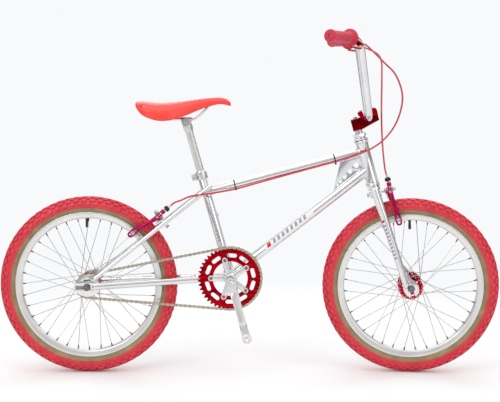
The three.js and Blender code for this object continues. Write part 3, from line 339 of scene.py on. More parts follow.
def new_finish(name, **settings):
    """A material with its shader and an object-space place to draw patterns in."""
    finish = bpy.data.materials.new(name)
    finish.use_nodes = True
    tree = finish.node_tree
    shader = tree.nodes["Principled BSDF"]
    for key, value in settings.items():
        shader.inputs[key.replace("_", " ").title().replace("Ior", "IOR")].default_value = value
    place = add(tree, "ShaderNodeTexCoord")
    return finish, tree, shader, place.outputs["Object"]


def drift_colour(tree, shader, place, scale, detail, dark, light, dark_until=0.35):
    """Lets a surface's colour drift slowly from dark to light, and gives back the drift."""
    drift = add(tree, "ShaderNodeTexNoise", {"Scale": scale, "Detail": detail}, {"Vector": place})
    tint = ramp(add(tree, "ShaderNodeValToRGB", links={"Fac": drift.outputs["Fac"]}),
                (dark_until, dark), (0.7, light))
    tree.links.new(tint.outputs["Color"], shader.inputs["Base Color"])
    return drift


def fine_grain(tree, shader, place, scale, detail, strength, height):
    """Raises a surface in fine grains, of a height in metres."""
    grain = add(tree, "ShaderNodeTexNoise", {"Scale": scale, "Detail": detail}, {"Vector": place})
    relief = add(tree, "ShaderNodeBump", {"Strength": strength, "Distance": height},
                 {"Height": grain.outputs["Fac"]})
    tree.links.new(relief.outputs["Normal"], shader.inputs["Normal"])


def metal(name, light, dark, roughness, patch_mm, spread=0.06, bump=0.02):
    """A bare or anodised metal: its colour and gloss drift a little, as handling leaves them."""
    finish, tree, shader, place = new_finish(name, metallic=1.0)
    drift = drift_colour(tree, shader, place, 1000 / patch_mm, 4.0, linear(dark), linear(light), 0.3)
    gloss = add(tree, "ShaderNodeMapRange", {"To Min": roughness, "To Max": roughness + spread},
                {"Value": drift.outputs["Fac"]})
    tree.links.new(gloss.outputs["Result"], shader.inputs["Roughness"])
    fine_grain(tree, shader, place, 2500.0, 2.0, bump, 0.0002)
    return finish


# Bright chrome plate over polished steel: near-mirror, with soft smears from handling.
chrome = metal("bright chrome plate", "#e9e9ea", "#dddddf", 0.17, 60, 0.05, 0.01)


def black_moulding():
    """Moulded black nylon: half dull, with faint flow marks and a fine spark-eroded grain."""
    finish, tree, shader, place = new_finish("black nylon", roughness=0.45)
    drift_colour(tree, shader, place, 90.0, 3.0, linear("#141416"), linear("#1d1d20"))
    fine_grain(tree, shader, place, 1600.0, 2.0, 0.2, 0.0003)
    return finish


black_nylon = black_moulding()

tilt = Vector((-sin(HEAD_ANGLE), 0, cos(HEAD_ANGLE)))  # the way the head and seat tubes lean
forward = Vector((cos(HEAD_ANGLE), 0, sin(HEAD_ANGLE)))
bracket = Vector((405, 0, 278))
head_bottom = Vector((WHEELBASE, 0, TYRE_RADIUS)) - FORK_RAKE * forward + AXLE_BELOW_HEAD * tilt
HEAD_TUBE_LENGTH = 118
HEAD_TUBE_RADIUS = 17.5
SEAT_TUBE_LENGTH = 316
SEAT_TUBE_RADIUS = 12.7
TOP_TUBE_RADIUS = 12.7
DOWN_TUBE_RADIUS = 14.3
BRACKET_RADIUS = 20.5
BRACKET_HALF_WIDTH = 34
TOP_TUBE_UP_SEAT_TUBE = 253.5
TOP_TUBE_UP_HEAD_TUBE = 93
DOWN_TUBE_UP_HEAD_TUBE = 40
top_tube_rear = bracket + TOP_TUBE_UP_SEAT_TUBE * tilt
top_tube_front = head_bottom + TOP_TUBE_UP_HEAD_TUBE * tilt
down_tube_front = head_bottom + DOWN_TUBE_UP_HEAD_TUBE * tilt
side_of = {"left": 1, "right": -1}


def seam(start, end, radius, host_point, host_axis, host_radius, steps=96):
    """The ring where a tube that runs from start towards end meets a host tube's wall."""
    run = (end - start).normalized()
    across = run.cross(host_axis).normalized()
    up = across.cross(run)
    flat_run = run - host_axis * run.dot(host_axis)
    ring = []
    for i in range(steps):
        turn = tau * i / steps
        wall = start + radius * (cos(turn) * across + sin(turn) * up)
        off = wall - host_point
        flat_off = off - host_axis * off.dot(host_axis)
        a, b = flat_run.dot(flat_run), flat_off.dot(flat_run)
        c = flat_off.dot(flat_off) - host_radius**2
        ring.append(wall + run * ((-b - sqrt(max(b * b - a * c, 0))) / a))
    return ring


def weld(bm, ring, size=1.5):
    """A bead of overlapping puddles laid along a seam."""
    puddles = [1 + 0.22 * abs(sin(i * pi / 2.5)) for i in range(len(ring))]
    swept(bm, ring, size, puddles, closed=True, detail=1)


Y_AXIS = Vector((0, 1, 0))
HEAD_BORE = 15.4
HEAD_LIP = 18.4  # the radius of the thicker band at each end of the head tube
LIP_LENGTH = 4
head_profile = [
    (HEAD_BORE, 0), (HEAD_LIP, 0), (HEAD_LIP, LIP_LENGTH), (HEAD_TUBE_RADIUS, LIP_LENGTH + 2),
    (HEAD_TUBE_RADIUS, HEAD_TUBE_LENGTH - LIP_LENGTH - 2), (HEAD_LIP, HEAD_TUBE_LENGTH - LIP_LENGTH),
    (HEAD_LIP, HEAD_TUBE_LENGTH), (HEAD_BORE, HEAD_TUBE_LENGTH), (HEAD_BORE, 0),
]
bm = bmesh.new()
turned(bm, head_bottom, head_bottom + tilt, head_profile, 64)
# Each hole's place from the head tube's foot, forwards and upwards, and its radius.
GUSSET_HOLES = [(-47, 50, 7.5), (-65, 32, 6.5), (-80, 15, 5), (-92, 2, 4), (-100, -8, 3)]
GUSSET_THICKNESS = 3
rear_top = head_bottom + 80 * tilt - 72 * forward + Vector((0, 0, 10))
rear_foot = bracket.lerp(down_tube_front, 0.745) + Vector((0, 0, 14))


def ring_of(x, z, radius, steps=24):
    """The outline of a round hole or disc."""
    turns = [tau * i / steps for i in range(steps)]
    return [(x + radius * cos(t), z + radius * sin(t)) for t in turns]


FACE_ON = Matrix.Rotation(pi / 2, 4, "X")  # stands a flat drawing of (x, z) upright


def upright(y):
    """The plane at a distance y to the left, for flat drawings of x and z."""
    return Matrix.Translation((0, y, 0)) @ FACE_ON


web = [(p.x, p.z) for p in (down_tube_front, top_tube_front, rear_top, rear_foot)]
holes = [ring_of(head_bottom.x + x, head_bottom.z + z, r) for x, z, r in GUSSET_HOLES]
flat(bm, [web, *holes], GUSSET_THICKNESS, upright(0), 0.4)
weld(bm, seam(top_tube_rear, top_tube_front, TOP_TUBE_RADIUS, head_bottom, tilt, HEAD_TUBE_RADIUS))
weld(bm, seam(bracket, down_tube_front, DOWN_TUBE_RADIUS, head_bottom, tilt, HEAD_TUBE_RADIUS))
piece("head_tube_and_gusset", bm, chrome, "frame", ["head_tube"])

on_seat_tube = (bracket, tilt, SEAT_TUBE_RADIUS)
on_bracket = (bracket, Y_AXIS, BRACKET_RADIUS)
for name, start, end, radius, rear_host in [
    ("top_tube", top_tube_rear, top_tube_front, TOP_TUBE_RADIUS, on_seat_tube),
    ("down_tube", bracket, down_tube_front, DOWN_TUBE_RADIUS, on_bracket),
]:
    bm = bmesh.new()
    rod(bm, start, end, radius, sides=64)
    weld(bm, seam(end, start, radius, *rear_host))
    piece(name + "_welded", bm, chrome, "frame", [name])

seat_tube_top = bracket + SEAT_TUBE_LENGTH * tilt
SEAT_BORE = 11.5
seat_profile = [
    (SEAT_BORE, 8), (SEAT_TUBE_RADIUS, 8), (SEAT_TUBE_RADIUS, 315.4), (12.3, SEAT_TUBE_LENGTH),
    (SEAT_BORE, SEAT_TUBE_LENGTH), (SEAT_BORE, 8),
]
bm = bmesh.new()
turned(bm, bracket, bracket + tilt, seat_profile, 64)
weld(bm, seam(seat_tube_top, bracket, SEAT_TUBE_RADIUS, *on_bracket))
piece("seat_tube_welded", bm, chrome, "frame", ["seat_tube"])

# The bracket shell with its bearing cups: a plain cup on the chain's side and a notched
# lock ring on the other.
bm = bmesh.new()
left_end, right_end = (bracket + Y_AXIS * y for y in (BRACKET_HALF_WIDTH, -BRACKET_HALF_WIDTH))
shell = [
    (9, -3), (16, -3), (17.5, -2), (19.5, -2), (19.5, 0), (BRACKET_RADIUS, 0.6),
    (BRACKET_RADIUS, 67.4), (21, 68), (21, 71), (17.5, 71.5), (9, 71.5), (9, -3),
]
turned(bm, right_end, left_end, shell, 64)
LOCK_NOTCHES = 6
for i in range(LOCK_NOTCHES):
    turn = Matrix.Rotation(tau * i / LOCK_NOTCHES, 4, "Y")
    block(bm, left_end + Y_AXIS * 1.5 + turn @ Vector((20.6, 0, 0)), (3, 3, 4), turn)
piece("bottom_bracket_shell_and_cups", bm, chrome, "frame", ["bottom_bracket_shell"], bevel=0.4)

STAY_FOOT = 57.5
CHAINSTAY_REAR = Vector((22, STAY_FOOT, 255.5))
CHAINSTAY_FRONT = Vector((405, 21, 278))
SEATSTAY_REAR = Vector((22, STAY_FOOT, 278.5))
SEATSTAY_FRONT = Vector((344, 19.5, 537))


def on_side(point, side):
    """A point of the left side as it is, or mirrored to the right where side is -1."""
    return Vector((point[0], side * point[1], point[2]))


CHAINSTAY_RADIUS = 8
CHAINSTAY_BRIDGE = Vector((300, 31, 271.5))
SEATSTAY_RADIUS = (6, 8)  # at the rear axle and at the seat tube


def fillet(bm, centre, radius, across, up):
    """The round weld at one end of a bridge between two stays."""
    turns = [tau * i / 32 for i in range(32)]
    ring = [centre + radius * (cos(t) * across + sin(t) * up) for t in turns]
    swept(bm, ring, 1.3, closed=True, detail=1)


for hand, side in side_of.items():
    bm = bmesh.new()
    rear, front = on_side(CHAINSTAY_REAR, side), on_side(CHAINSTAY_FRONT, side)
    rod(bm, rear, front, CHAINSTAY_RADIUS, tall=1.2, sides=48)
    ball(bm, rear, CHAINSTAY_RADIUS, (0.9, 1, 1.2), 32)
    weld(bm, seam(rear, front, 8.6, *on_bracket))
    if side > 0:
        rod(bm, on_side(CHAINSTAY_BRIDGE, -1), CHAINSTAY_BRIDGE, 6.5, sides=32)
        for end in (1, -1):
            lip = Vector((CHAINSTAY_BRIDGE.x, end * 23.6, CHAINSTAY_BRIDGE.z))
            fillet(bm, lip, 7, Vector((1, 0, 0)), Vector((0, 0, 1)))
    piece("chainstay_" + hand + "_welded", bm, chrome, "frame", ["chainstay_" + hand])

bridge = SEATSTAY_REAR.lerp(SEATSTAY_FRONT, 0.6)
bridge_centre = Vector((bridge.x, 0, bridge.z))
away = (SEATSTAY_FRONT - SEATSTAY_REAR)
away = Vector((away.x, 0, away.z)).normalized()  # up the stays, away from the rear axle
facing = Vector((-away.z, 0, away.x))
for hand, side in side_of.items():
    bm = bmesh.new()
    rear, front = on_side(SEATSTAY_REAR, side), on_side(SEATSTAY_FRONT, side)
    rod(bm, rear, front, *SEATSTAY_RADIUS, sides=48)
    ball(bm, rear, 6.1, detail=32)
    ball(bm, front, SEATSTAY_RADIUS[1], detail=32)
    if side > 0:
        rod(bm, on_side(bridge, -1), bridge, 8, sides=40)
        for end in (1, -1):
            fillet(bm, bridge_centre + Y_AXIS * end * (bridge.y - 6), 8.4, facing, away)
    piece("seatstay_" + hand + "_welded", bm, chrome, "frame", ["seatstay_" + hand])


def curved(start, control, end, steps=8):
    """Points on a quadratic curve after its start, up to its end."""
    a, b, c = Vector(start), Vector(control), Vector(end)
    shares = [i / steps for i in range(1, steps + 1)]
    return [tuple(a.lerp(b, t).lerp(b.lerp(c, t), t)) for t in shares]


def obround(a, b, half_width, steps=10):
    """The outline of a bar from a to b with round ends."""
    a, b = Vector(a), Vector(b)
    heading = atan2(b.y - a.y, b.x - a.x)
    outline = []
    for end, first in ((b, heading - pi / 2), (a, heading + pi / 2)):
        for i in range(steps + 1):
            turn = first + pi * i / steps
            outline.append((end.x + half_width * cos(turn), end.y + half_width * sin(turn)))
    return outline


# Rear dropouts: 5 mm plates, stamped, with a rearward slot for the axle and a small slot above.
AXLE_SLOT = 5
DROPOUT_FACE = 55
dropout_outline = [
    (-33, AXLE_SLOT), (0, AXLE_SLOT),
    *[(AXLE_SLOT * cos(t), AXLE_SLOT * sin(t)) for t in (pi / 2 - pi * i / 10 for i in range(1, 10))],
    (0, -AXLE_SLOT), (-33, -AXLE_SLOT), (-33, -11),
    *curved((-33, -11), (-22, -25), (2, -27)), *curved((2, -27), (22, -26), (34, -12)),
    (34, 12), (27, 35), (9, 37), *curved((9, 37), (-20, 32), (-33, 12)),
]
for hand, side in side_of.items():
    bm = bmesh.new()
    axle_height = Matrix.Translation((0, 0, TYRE_RADIUS))
    flat(bm, [dropout_outline, obround((-6, 19), (8, 21), 2.8)], 5,
         axle_height @ upright(side * (DROPOUT_FACE + 2.5)), 0.5)
    for y in (-3.4, 3.4):
        for foot, front in ((CHAINSTAY_REAR, CHAINSTAY_FRONT), (SEATSTAY_REAR, SEATSTAY_FRONT)):
            run = (front - foot).normalized()
            start = on_side(foot + run * 2, side) + Y_AXIS * y
            line = [start + on_side(run, side) * (3 * i / 2) for i in range(10)]
            swept(bm, line, 1.1, [1 + 0.3 * (i % 2) for i in range(10)], detail=1)
    piece("dropout_" + hand + "_stamped", bm, chrome, "frame", ["dropout_" + hand])

# Two cable ties of black nylon hold the rear brake's cable under the top tube.
CABLE_RADIUS = 2.5
CABLE_AT_TIES = [(417, -14.0, 531.3), (702, -13.6, 611.4)]
for number, (x, cable_y, cable_z) in enumerate(CABLE_AT_TIES):
    bm = bmesh.new()
    share = (x - top_tube_rear.x) / (top_tube_front.x - top_tube_rear.x)
    centre = top_tube_rear.lerp(top_tube_front, share)
    run = (top_tube_front - top_tube_rear).normalized()
    up = run.cross(Y_AXIS) * -1
    inside = [((0, 0), TOP_TUBE_RADIUS + 0.7),
              ((cable_y, (Vector((x, 0, cable_z)) - centre).dot(up)), CABLE_RADIUS + 0.7)]
    loop = []
    for i in range(64):
        look = Vector((cos(tau * i / 64), sin(tau * i / 64)))
        loop.append(max((Vector(c) + look * r for c, r in inside), key=look.dot))
    swept(bm, [centre + Y_AXIS * p.x + up * p.y for p in loop], 1.0, closed=True, detail=1)
    # The round strand is drawn out along the tube into a flat strap.
    on_tube = Matrix.Translation(centre) @ Matrix.Rotation(-atan2(run.z, run.x), 4, "Y")
    widened = on_tube @ Matrix.Diagonal((2.0, 1, 1, 1)) @ on_tube.inverted()
    bmesh.ops.transform(bm, matrix=widened, verts=bm.verts)
    block(bm, centre + Y_AXIS * 2 + up * (TOP_TUBE_RADIUS + 2), (5.5, 6, 3.4))
    piece("cable_tie_" + str(number + 1), bm, black_nylon, "frame",
          bevel=0.3)


# Stickers: thin printed vinyl on the tubes. The marks are plain slanted bars of one size.
def vinyl(name, colour):
    """Printed vinyl film: half glossy, with the fine uneven tone of its ink."""
    finish, tree, shader, place = new_finish(name, roughness=0.32)
    base = Vector(linear(colour)[:3])
    drift_colour(tree, shader, place, 900.0, 2.0, (*(base * 0.86), 1), (*base, 1), 0.3)
    return finish


grey_vinyl = vinyl("printed grey vinyl", "#9b9da3")
white_vinyl = vinyl("white vinyl", "#f2f2f2")
red_vinyl = vinyl("printed red vinyl", "#d3121f")


def patch(bm, start, end, radius, from_share, to_share, low, high, slant=0.0, height=0.12):
    """A sticker on a tube that runs from start to end: a stretch of its length by an arc, both
    given as shares and degrees above the side that faces right. slant leans it along the tube."""
    run = (end - start).normalized()
    facing_right = Vector((0, -1, 0))
    up = run.cross(facing_right)
    if up.z < 0:
        up = -up
    length = (end - start).length
    grid = bmesh.ops.create_grid(bm, x_segments=8, y_segments=10, size=0.5)
    for v in grid["verts"]:
        along, round_it = v.co.x + 0.5, v.co.y + 0.5
        turn = radians(low + (high - low) * round_it)
        reach = (from_share + (to_share - from_share) * along) * length + slant * radius * turn
        v.co = start + run * reach + (radius + height) * (cos(turn) * facing_right + sin(turn) * up)


def bars(first, step, width, count):
    """Equal stretches of a tube's length, as shares of it."""
    return [(first + step * i, first + step * i + width) for i in range(count)]


TUBES = {
    "down_tube": (bracket, down_tube_front, DOWN_TUBE_RADIUS),
    "seat_tube": (bracket, seat_tube_top, SEAT_TUBE_RADIUS),
}
# Each sticker's tube, vinyl, stretches, lower and upper edge in degrees, slant and height.
STICKERS = {
    "down_tube_bars": ("down_tube", grey_vinyl, bars(0.315, 0.031, 0.016, 8), -2, 48, 0.35, 0.12),
    "down_tube_band": ("down_tube", white_vinyl, [(0.255, 0.60)], -8, 56, 0.35, 0.06),
    "down_tube_red_bar": ("down_tube", red_vinyl, [(0.272, 0.296)], -2, 48, 0.35, 0.12),
    "seat_tube_bars": ("seat_tube", grey_vinyl, bars(0.34, 0.03, 0.015, 4), -28, 20, 0.2, 0.12),
    "seat_tube_label": ("seat_tube", white_vinyl, [(0.235, 0.295)], -20, 38, 0.0, 0.12),
    "seat_tube_label_stripe": ("seat_tube", red_vinyl, [(0.262, 0.278)], -12, 30, 0.0, 0.2),
}
for name, (tube, film, stretches, low, high, slant, height) in STICKERS.items():
    bm = bmesh.new()
    for first, last in stretches:
        patch(bm, *TUBES[tube], first, last, low, high, slant, height)
    piece(name, bm, film, "frame")


# ---------- seat clamp, post and saddle ----------
# A pinch clamp of cast alloy, a fluted alloy post with a rocking cradle on top, two chromed
# rails and a one-piece shell of moulded nylon, open underneath.
alloy = metal("polished aluminium", "#dddcda", "#d0cfcc", 0.24, 60, 0.05, 0.03)
satin_alloy = metal("bead-blasted aluminium", "#e9e8e5", "#dfdedb", 0.32, 60, 0.05, 0.04)
steel = metal("zinc-plated steel", "#cfcfcd", "#b4b4b2", 0.26, 14, 0.08, 0.04)


def hex_socket(bm, centre, axis, radius, height):
    """A socket-head bolt: a drum with a rounded rim and a six-sided hole in its face."""
    centre, axis = Vector(centre), Vector(axis).normalized()
    rim = height - 0.8
    turned(bm, centre, centre + axis,
           [(radius, 0), (radius, rim), (radius - 0.8, height), (radius * 0.55, height)], 28)
    hole = aim(centre + axis * (height - 0.1), centre + axis * (height + 0.5))
    bmesh.ops.create_cone(bm, cap_ends=True, segments=6, radius1=radius * 0.5,
                          radius2=radius * 0.5, depth=0.6, matrix=hole)


def hex_nut(bm, centre, axis, across, height):
    """A nut of a width across its flats."""
    centre, axis = Vector(centre), Vector(axis).normalized()
    rod(bm, centre, centre + axis * height, across / sqrt(3), sides=6)


clamp_low = bracket + (SEAT_TUBE_LENGTH - 25) * tilt
ears = bracket + (SEAT_TUBE_LENGTH - 13) * tilt - 21 * forward
lean = Matrix.Rotation(-HEAD_ANGLE, 4, "Y")
bm = bmesh.new()
turned(bm, clamp_low, clamp_low + tilt,
       [(12.9, 0), (15.6, 0), (16.4, 1.2), (16.4, 21.8), (15.6, 23), (12.9, 23), (12.9, 0)], 56)
for y in (-6, 6):
    block(bm, ears + Y_AXIS * y, (14, 8.4, 17), lean)
rod(bm, ears + Y_AXIS * 14, ears - Y_AXIS * 10, 4.4, sides=24)
hex_socket(bm, ears - Y_AXIS * 10, -Y_AXIS, 7.4, 7)
hex_nut(bm, ears + Y_AXIS * 10.4, Y_AXIS, 12.5, 5)
small_bolt = bracket + (SEAT_TUBE_LENGTH - 13) * tilt + 2 * forward
hex_socket(bm, small_bolt - Y_AXIS * 15, -Y_AXIS, 3.4, 2.4)
piece("seat_clamp_cast", bm, alloy, "frame", ["seat_clamp"], bevel=0.7)

POST_RADIUS = 11.1
POST_TOP = 448
FLUTES = 20
post_from = bracket + 205 * tilt
bm = bmesh.new()
fluted_from, fluted_to = bracket + 232 * tilt, bracket + (POST_TOP - 16) * tilt
rod(bm, post_from, fluted_from, POST_RADIUS, sides=56)
bmesh.ops.create_cone(bm, segments=FLUTES * 8, radius1=POST_RADIUS, radius2=POST_RADIUS,
                      depth=(fluted_to - fluted_from).length, matrix=aim(fluted_from, fluted_to))
for v in bm.verts:
    along = (v.co - bracket).dot(tilt)
    off = v.co - bracket - tilt * along
    if along > 231.9 and off.length > 1:
        turn = atan2(off.y, off.dot(forward))
        v.co -= off.normalized() * 0.35 * max(0, cos(FLUTES * turn))
turned(bm, fluted_to - tilt, fluted_to,
       [(POST_RADIUS, 0), (11.4, 1), (12.4, 4), (13.6, 12), (14, 21), (12, 24)], 56)
piece("seat_post_fluted", bm, alloy, "seat_post", ["seat_post"])

cradle = bracket + (POST_TOP + 13) * tilt
CRADLE_RADIUS = 13
CRADLE_HALF_WIDTH = 30
RAIL_Y = 22
RAIL_RADIUS = 3.5
rail_height = cradle.z + 8
bm = bmesh.new()
cradle_profile = [
    (8, 0), (CRADLE_RADIUS - 1, 0), (CRADLE_RADIUS, 1), (CRADLE_RADIUS, 18), (11.6, 19),
    (11.6, 41), (CRADLE_RADIUS, 42), (CRADLE_RADIUS, 59), (CRADLE_RADIUS - 1, 60), (8, 60),
]
turned(bm, cradle - Y_AXIS * CRADLE_HALF_WIDTH, cradle, cradle_profile, 56)
for side in (1, -1):
    hex_nut(bm, cradle + Y_AXIS * side * CRADLE_HALF_WIDTH, Y_AXIS * side, 12.5, 4)
    rear, front = ((cradle.x + x, side * RAIL_Y, rail_height - 1) for x in (-15, 15))
    rod(bm, rear, front, 6, sides=24)
piece("seat_cradle_clamped", bm, steel, "saddle", ["seat_cradle"], bevel=0.5)


def smooth_route(points, step):
    """Points about a step apart on a smooth curve through given points, of any dimension."""
    points = [Vector(p) for p in points]
    ends = [points[0] * 2 - points[1], *points, points[-1] * 2 - points[-2]]
    out = []
    for p0, p1, p2, p3 in zip(ends, ends[1:], ends[2:], ends[3:]):
        t1 = (p1 - p0).length ** 0.5
        t2 = t1 + (p2 - p1).length ** 0.5
        t3 = t2 + (p3 - p2).length ** 0.5
        pieces = max(1, ceil((p2 - p1).length / step))
        for i in range(pieces):
            t = t1 + (t2 - t1) * i / pieces
            a1 = p0.lerp(p1, t / t1)
            a2 = p1.lerp(p2, (t - t1) / (t2 - t1))
            a3 = p2.lerp(p3, (t - t2) / (t3 - t2))
            b1 = a1.lerp(a2, t / t2)
            b2 = a2.lerp(a3, (t - t1) / (t3 - t1))
            out.append(b1.lerp(b2, (t - t1) / (t2 - t1)))
    return out + [points[-1]]


bm = bmesh.new()
for side in (1, -1):
    route = [(178, 30, 755), (196, 28, rail_height + 12),
             *[(x, RAIL_Y, rail_height) for x in (218, 258, 300)], (345, 12, 768), (362, 5, 776)]
    swept(bm, smooth_route([on_side(p, side) for p in route], 4), RAIL_RADIUS, detail=4)
rod(bm, (361, -9, 775.5), (361, 9, 775.5), 4.2)
rod(bm, (179, -33, 755), (179, 33, 755), 4.2)
piece("saddle_rails_bent", bm, chrome, "saddle", ["saddle_rails"])

# Sections of the shell from tail to nose: x, top height, half-width, skirt depth, camber.
SADDLE_SECTIONS = [
    (135, 777, 36, 12, 3), (143, 779, 56, 27, 4), (156, 779, 65, 39, 6), (175, 777, 70, 46, 7),
    (205, 775, 70, 51, 8), (240, 777, 62, 50, 8), (275, 781, 46, 43, 7), (310, 786, 32, 33, 6),
    (345, 790, 23, 24, 5), (375, 791, 19, 19, 5), (395, 786, 16, 17, 4), (405, 776, 9, 9, 2),
]
SHELL_THICKNESS = 4


def moulded_nylon():
    """Injection-moulded nylon: a clear even red, half gloss, with a fine spark-eroded grain."""
    finish, tree, shader, place = new_finish("moulded red nylon", roughness=0.36)
    drift_colour(tree, shader, place, 18.0, 3.0, linear("#f0382f"), linear("#fb4c41"))
    shader.inputs["Subsurface Weight"].default_value = 0.12
    shader.inputs["Subsurface Radius"].default_value = (0.006, 0.002, 0.001)
    fine_grain(tree, shader, place, 1600.0, 2.0, 0.18, 0.0003)
    return finish


bm = bmesh.new()
sections = smooth_route(SADDLE_SECTIONS, 6)
ACROSS = 36
grid = bmesh.ops.create_grid(bm, x_segments=len(sections) - 1, y_segments=ACROSS, size=0.5)
for v in grid["verts"]:
    place_along = round((v.co.x + 0.5) * (len(sections) - 1))
    x, top, half, skirt, camber = sections[place_along]
    angle = (v.co.y + 0.5) * pi
    side_share = cos(angle)
    arch = max(sin(angle), 0) ** 0.35
    v.co = (x, side_share * half, top - (skirt - camber) * (1 - arch) - camber * side_share**2)
# A slot for a strap is moulded through each side of the tail.
centres = {f: f.calc_center_median() for f in bm.faces}
slots = [f for f, c in centres.items() if abs(c.x - 157) < 9 and abs(c.y) > 56 and 763 < c.z < 773]
bmesh.ops.delete(bm, geom=slots, context="FACES")
saddle = piece("saddle_shell_moulded", bm, moulded_nylon(), "saddle", ["saddle_shell"], sharp=pi)
if sum(p.normal.z for p in saddle.data.polygons) < 0:
    saddle.data.flip_normals()
wall = saddle.modifiers.new("wall", "SOLIDIFY")
wall.thickness = SHELL_THICKNESS * MM
wall.offset = -1
skin = saddle.modifiers.new("skin", "SUBSURF")
skin.levels = skin.render_levels = 1
bm = bmesh.new()
for side in (1, -1):
    for x, z in ((170, 756), (186, 751)):
        ball(bm, (x, side * 34, z), 3.2, (1, 0.6, 1))
piece("saddle_rivets", bm, steel, "saddle")


# ---------- headset ----------
# Two pressed cups with knurled upper parts and a lock nut, all chromed steel.
# Dark steel for the spoke nipples; on the headset it paints the shade in the gap between the upper cup
# and the lock nut.
painted_gap_shade_and_nipple_steel = metal("dark nipple steel and painted headset gap shade", "#4a4a4c", "#2c2c2e", 0.35, 6, 0.1)
cup_bore = 13.6
upper_cup = [(18.2, 0), (18.8, 1), (20.5, 3.6), (20.7, 6), (20.2, 7.4)]
lower_cup = [(18.2, 0), (18.8, 1), (20, 3), (20.2, 6), (19.6, 7.6)]
for name, at, axis, profile in [
    ("headset_upper_cup", head_bottom + (HEAD_TUBE_LENGTH + 0.3) * tilt, tilt, upper_cup),
    ("headset_lower_cup", head_bottom - 0.3 * tilt, -tilt, lower_cup),
]:
    bm = bmesh.new()
    height = profile[-1][1]
    turned(bm, at, at + axis, [(cup_bore, 0), *profile, (cup_bore, height), (cup_bore, 0)], 64)
    piece(name + "_pressed", bm, chrome, "frame", [name])

STEER_AT_REST = radians(-6)
STEERED = (BIKE @ Matrix.Translation(head_bottom) @ Matrix.Rotation(-HEAD_ANGLE, 4, "Y")
           @ Matrix.Rotation(STEER_AT_REST, 4, "Z"))
Z_AXIS = Vector((0, 0, 1))
# A thin dark ring between the upper cup and the lock nut paints the shade in that gap.
bm = bmesh.new()
washer(bm, (0, 0, 125.9), (0, 0, 200), 13.4, 18.4, 1.2, 56)
piece("headset_gap_shade_ring", bm, painted_gap_shade_and_nipple_steel, "steering", place=STEERED)
bm = bmesh.new()
turned(bm, (0, 0, 127.2), (0, 0, 200),
       [(13, 0), (19.4, 0), (20, 1), (20, 5), (18.6, 6.4), (16.2, 7), (16.2, 9), (17.6, 9.6),
        (17.6, 10.6), (13, 10.6), (13, 0)], 64)
rod(bm, (0, 0, 138), (0, 0, 145.4), 18.4, sides=8)
KNURLS = 36
for i in range(KNURLS):
    turn = Matrix.Rotation(tau * i / KNURLS, 4, "Z")
    block(bm, turn @ Vector((20, 0, 130.4)), (0.9, 1.6, 3.8), turn)
piece("headset_locknut_knurled", bm, chrome, "steering", ["headset_locknut"], place=STEERED, bevel=0.3)


# ---------- fork ----------
# Chromed steel: a steerer in the head tube, a round crown across its foot, two straight legs
# that taper and end in slotted plates, and a domed cap on each leg's top.
BRAKE_BOLT_DROP = 32.5
LEG_TOP = Vector((1, 49, -16))
LEG_FOOT = Vector((17, 53, -300))
FORK_FACE = 50
front_axle = Vector((FORK_RAKE, 0, -AXLE_BELOW_HEAD))
slot_top = [(-5 * cos(t), 5 * sin(t)) for t in (pi * i / 10 for i in range(1, 10))]
fork_end = [
    (-5, -24), (-5, 0), *slot_top, (5, 0), (5, -24),
    *curved((5, -24), (20, -22), (22, -4)), *curved((22, -4), (23, 14), (8, 26)),
    (0, 50), (-16, 50), (-22, 4),
    *curved((-22, 4), (-21, -22), (-5, -24))[:-1],
]
bm = bmesh.new()
rod(bm, (0, 0, -30), (0, 0, HEAD_TUBE_LENGTH + 27), 12.7, sides=48)
turned(bm, (0, 0, -14), (0, 0, 0), [(12, 0), (17.5, 0), (19.2, 2), (19.2, 4.6), (12, 4.6), (12, 0)], 56)
rod(bm, (0, 0, -42), (0, 0, -13), 16.8, 17.4, sides=56)
CROWN_RADIUS = 16
crown = Vector((0, 0, 5 - BRAKE_BOLT_DROP))
rod(bm, crown - Y_AXIS * LEG_TOP.y, crown + Y_AXIS * LEG_TOP.y, CROWN_RADIUS, sides=56)
for side in (1, -1):
    top, foot = on_side(LEG_TOP, side), on_side(LEG_FOOT, side)
    rod(bm, top, foot, 12.7, 9.5, sides=56)
    ball(bm, top, 12.7, (1, 1, 0.55), 40)
    ball(bm, foot, 9.5, (1, 1, 1.6), 40)
    axle_side = Matrix.Translation((front_axle.x, 0, front_axle.z))
    flat(bm, [fork_end], 5, axle_side @ upright(side * (FORK_FACE + 2.5)), 0.6)
    leg = (foot - top).normalized()
    weld(bm, seam(crown, crown + Y_AXIS * side * LEG_TOP.y, CROWN_RADIUS, top, leg, 12.5), 1.4)
weld(bm, seam(Vector((0, 0, 20)), crown, 16.9, crown, Y_AXIS, CROWN_RADIUS))
piece("fork_welded", bm, chrome, "steering", ["fork"], place=STEERED)
bm = bmesh.new()
for side in (1, -1):
    top, foot = on_side(LEG_TOP, side), on_side(LEG_FOOT, side)
    low = top.lerp(foot, 0.965)
    washer(bm, low - Y_AXIS * side * 13, low, 2.4, 3.4, 4.2, 20)
piece("fork_vent_rims", bm, chrome, "steering", place=STEERED)

leg_top, leg_foot = on_side(LEG_TOP, -1), on_side(LEG_FOOT, -1)
bm = bmesh.new()
for first, last in bars(0.36, 0.038, 0.02, 10):
    patch(bm, leg_top, leg_foot, 12.7 - 3.2 * first, first, last, -52, -5, -0.25)
piece("fork_leg_bars", bm, grey_vinyl, "steering", place=STEERED)
bm = bmesh.new()
patch(bm, leg_top, leg_foot, 11.7, 0.31, 0.332, -52, -5, -0.25)
piece("fork_leg_red_bar", bm, red_vinyl, "steering", place=STEERED)
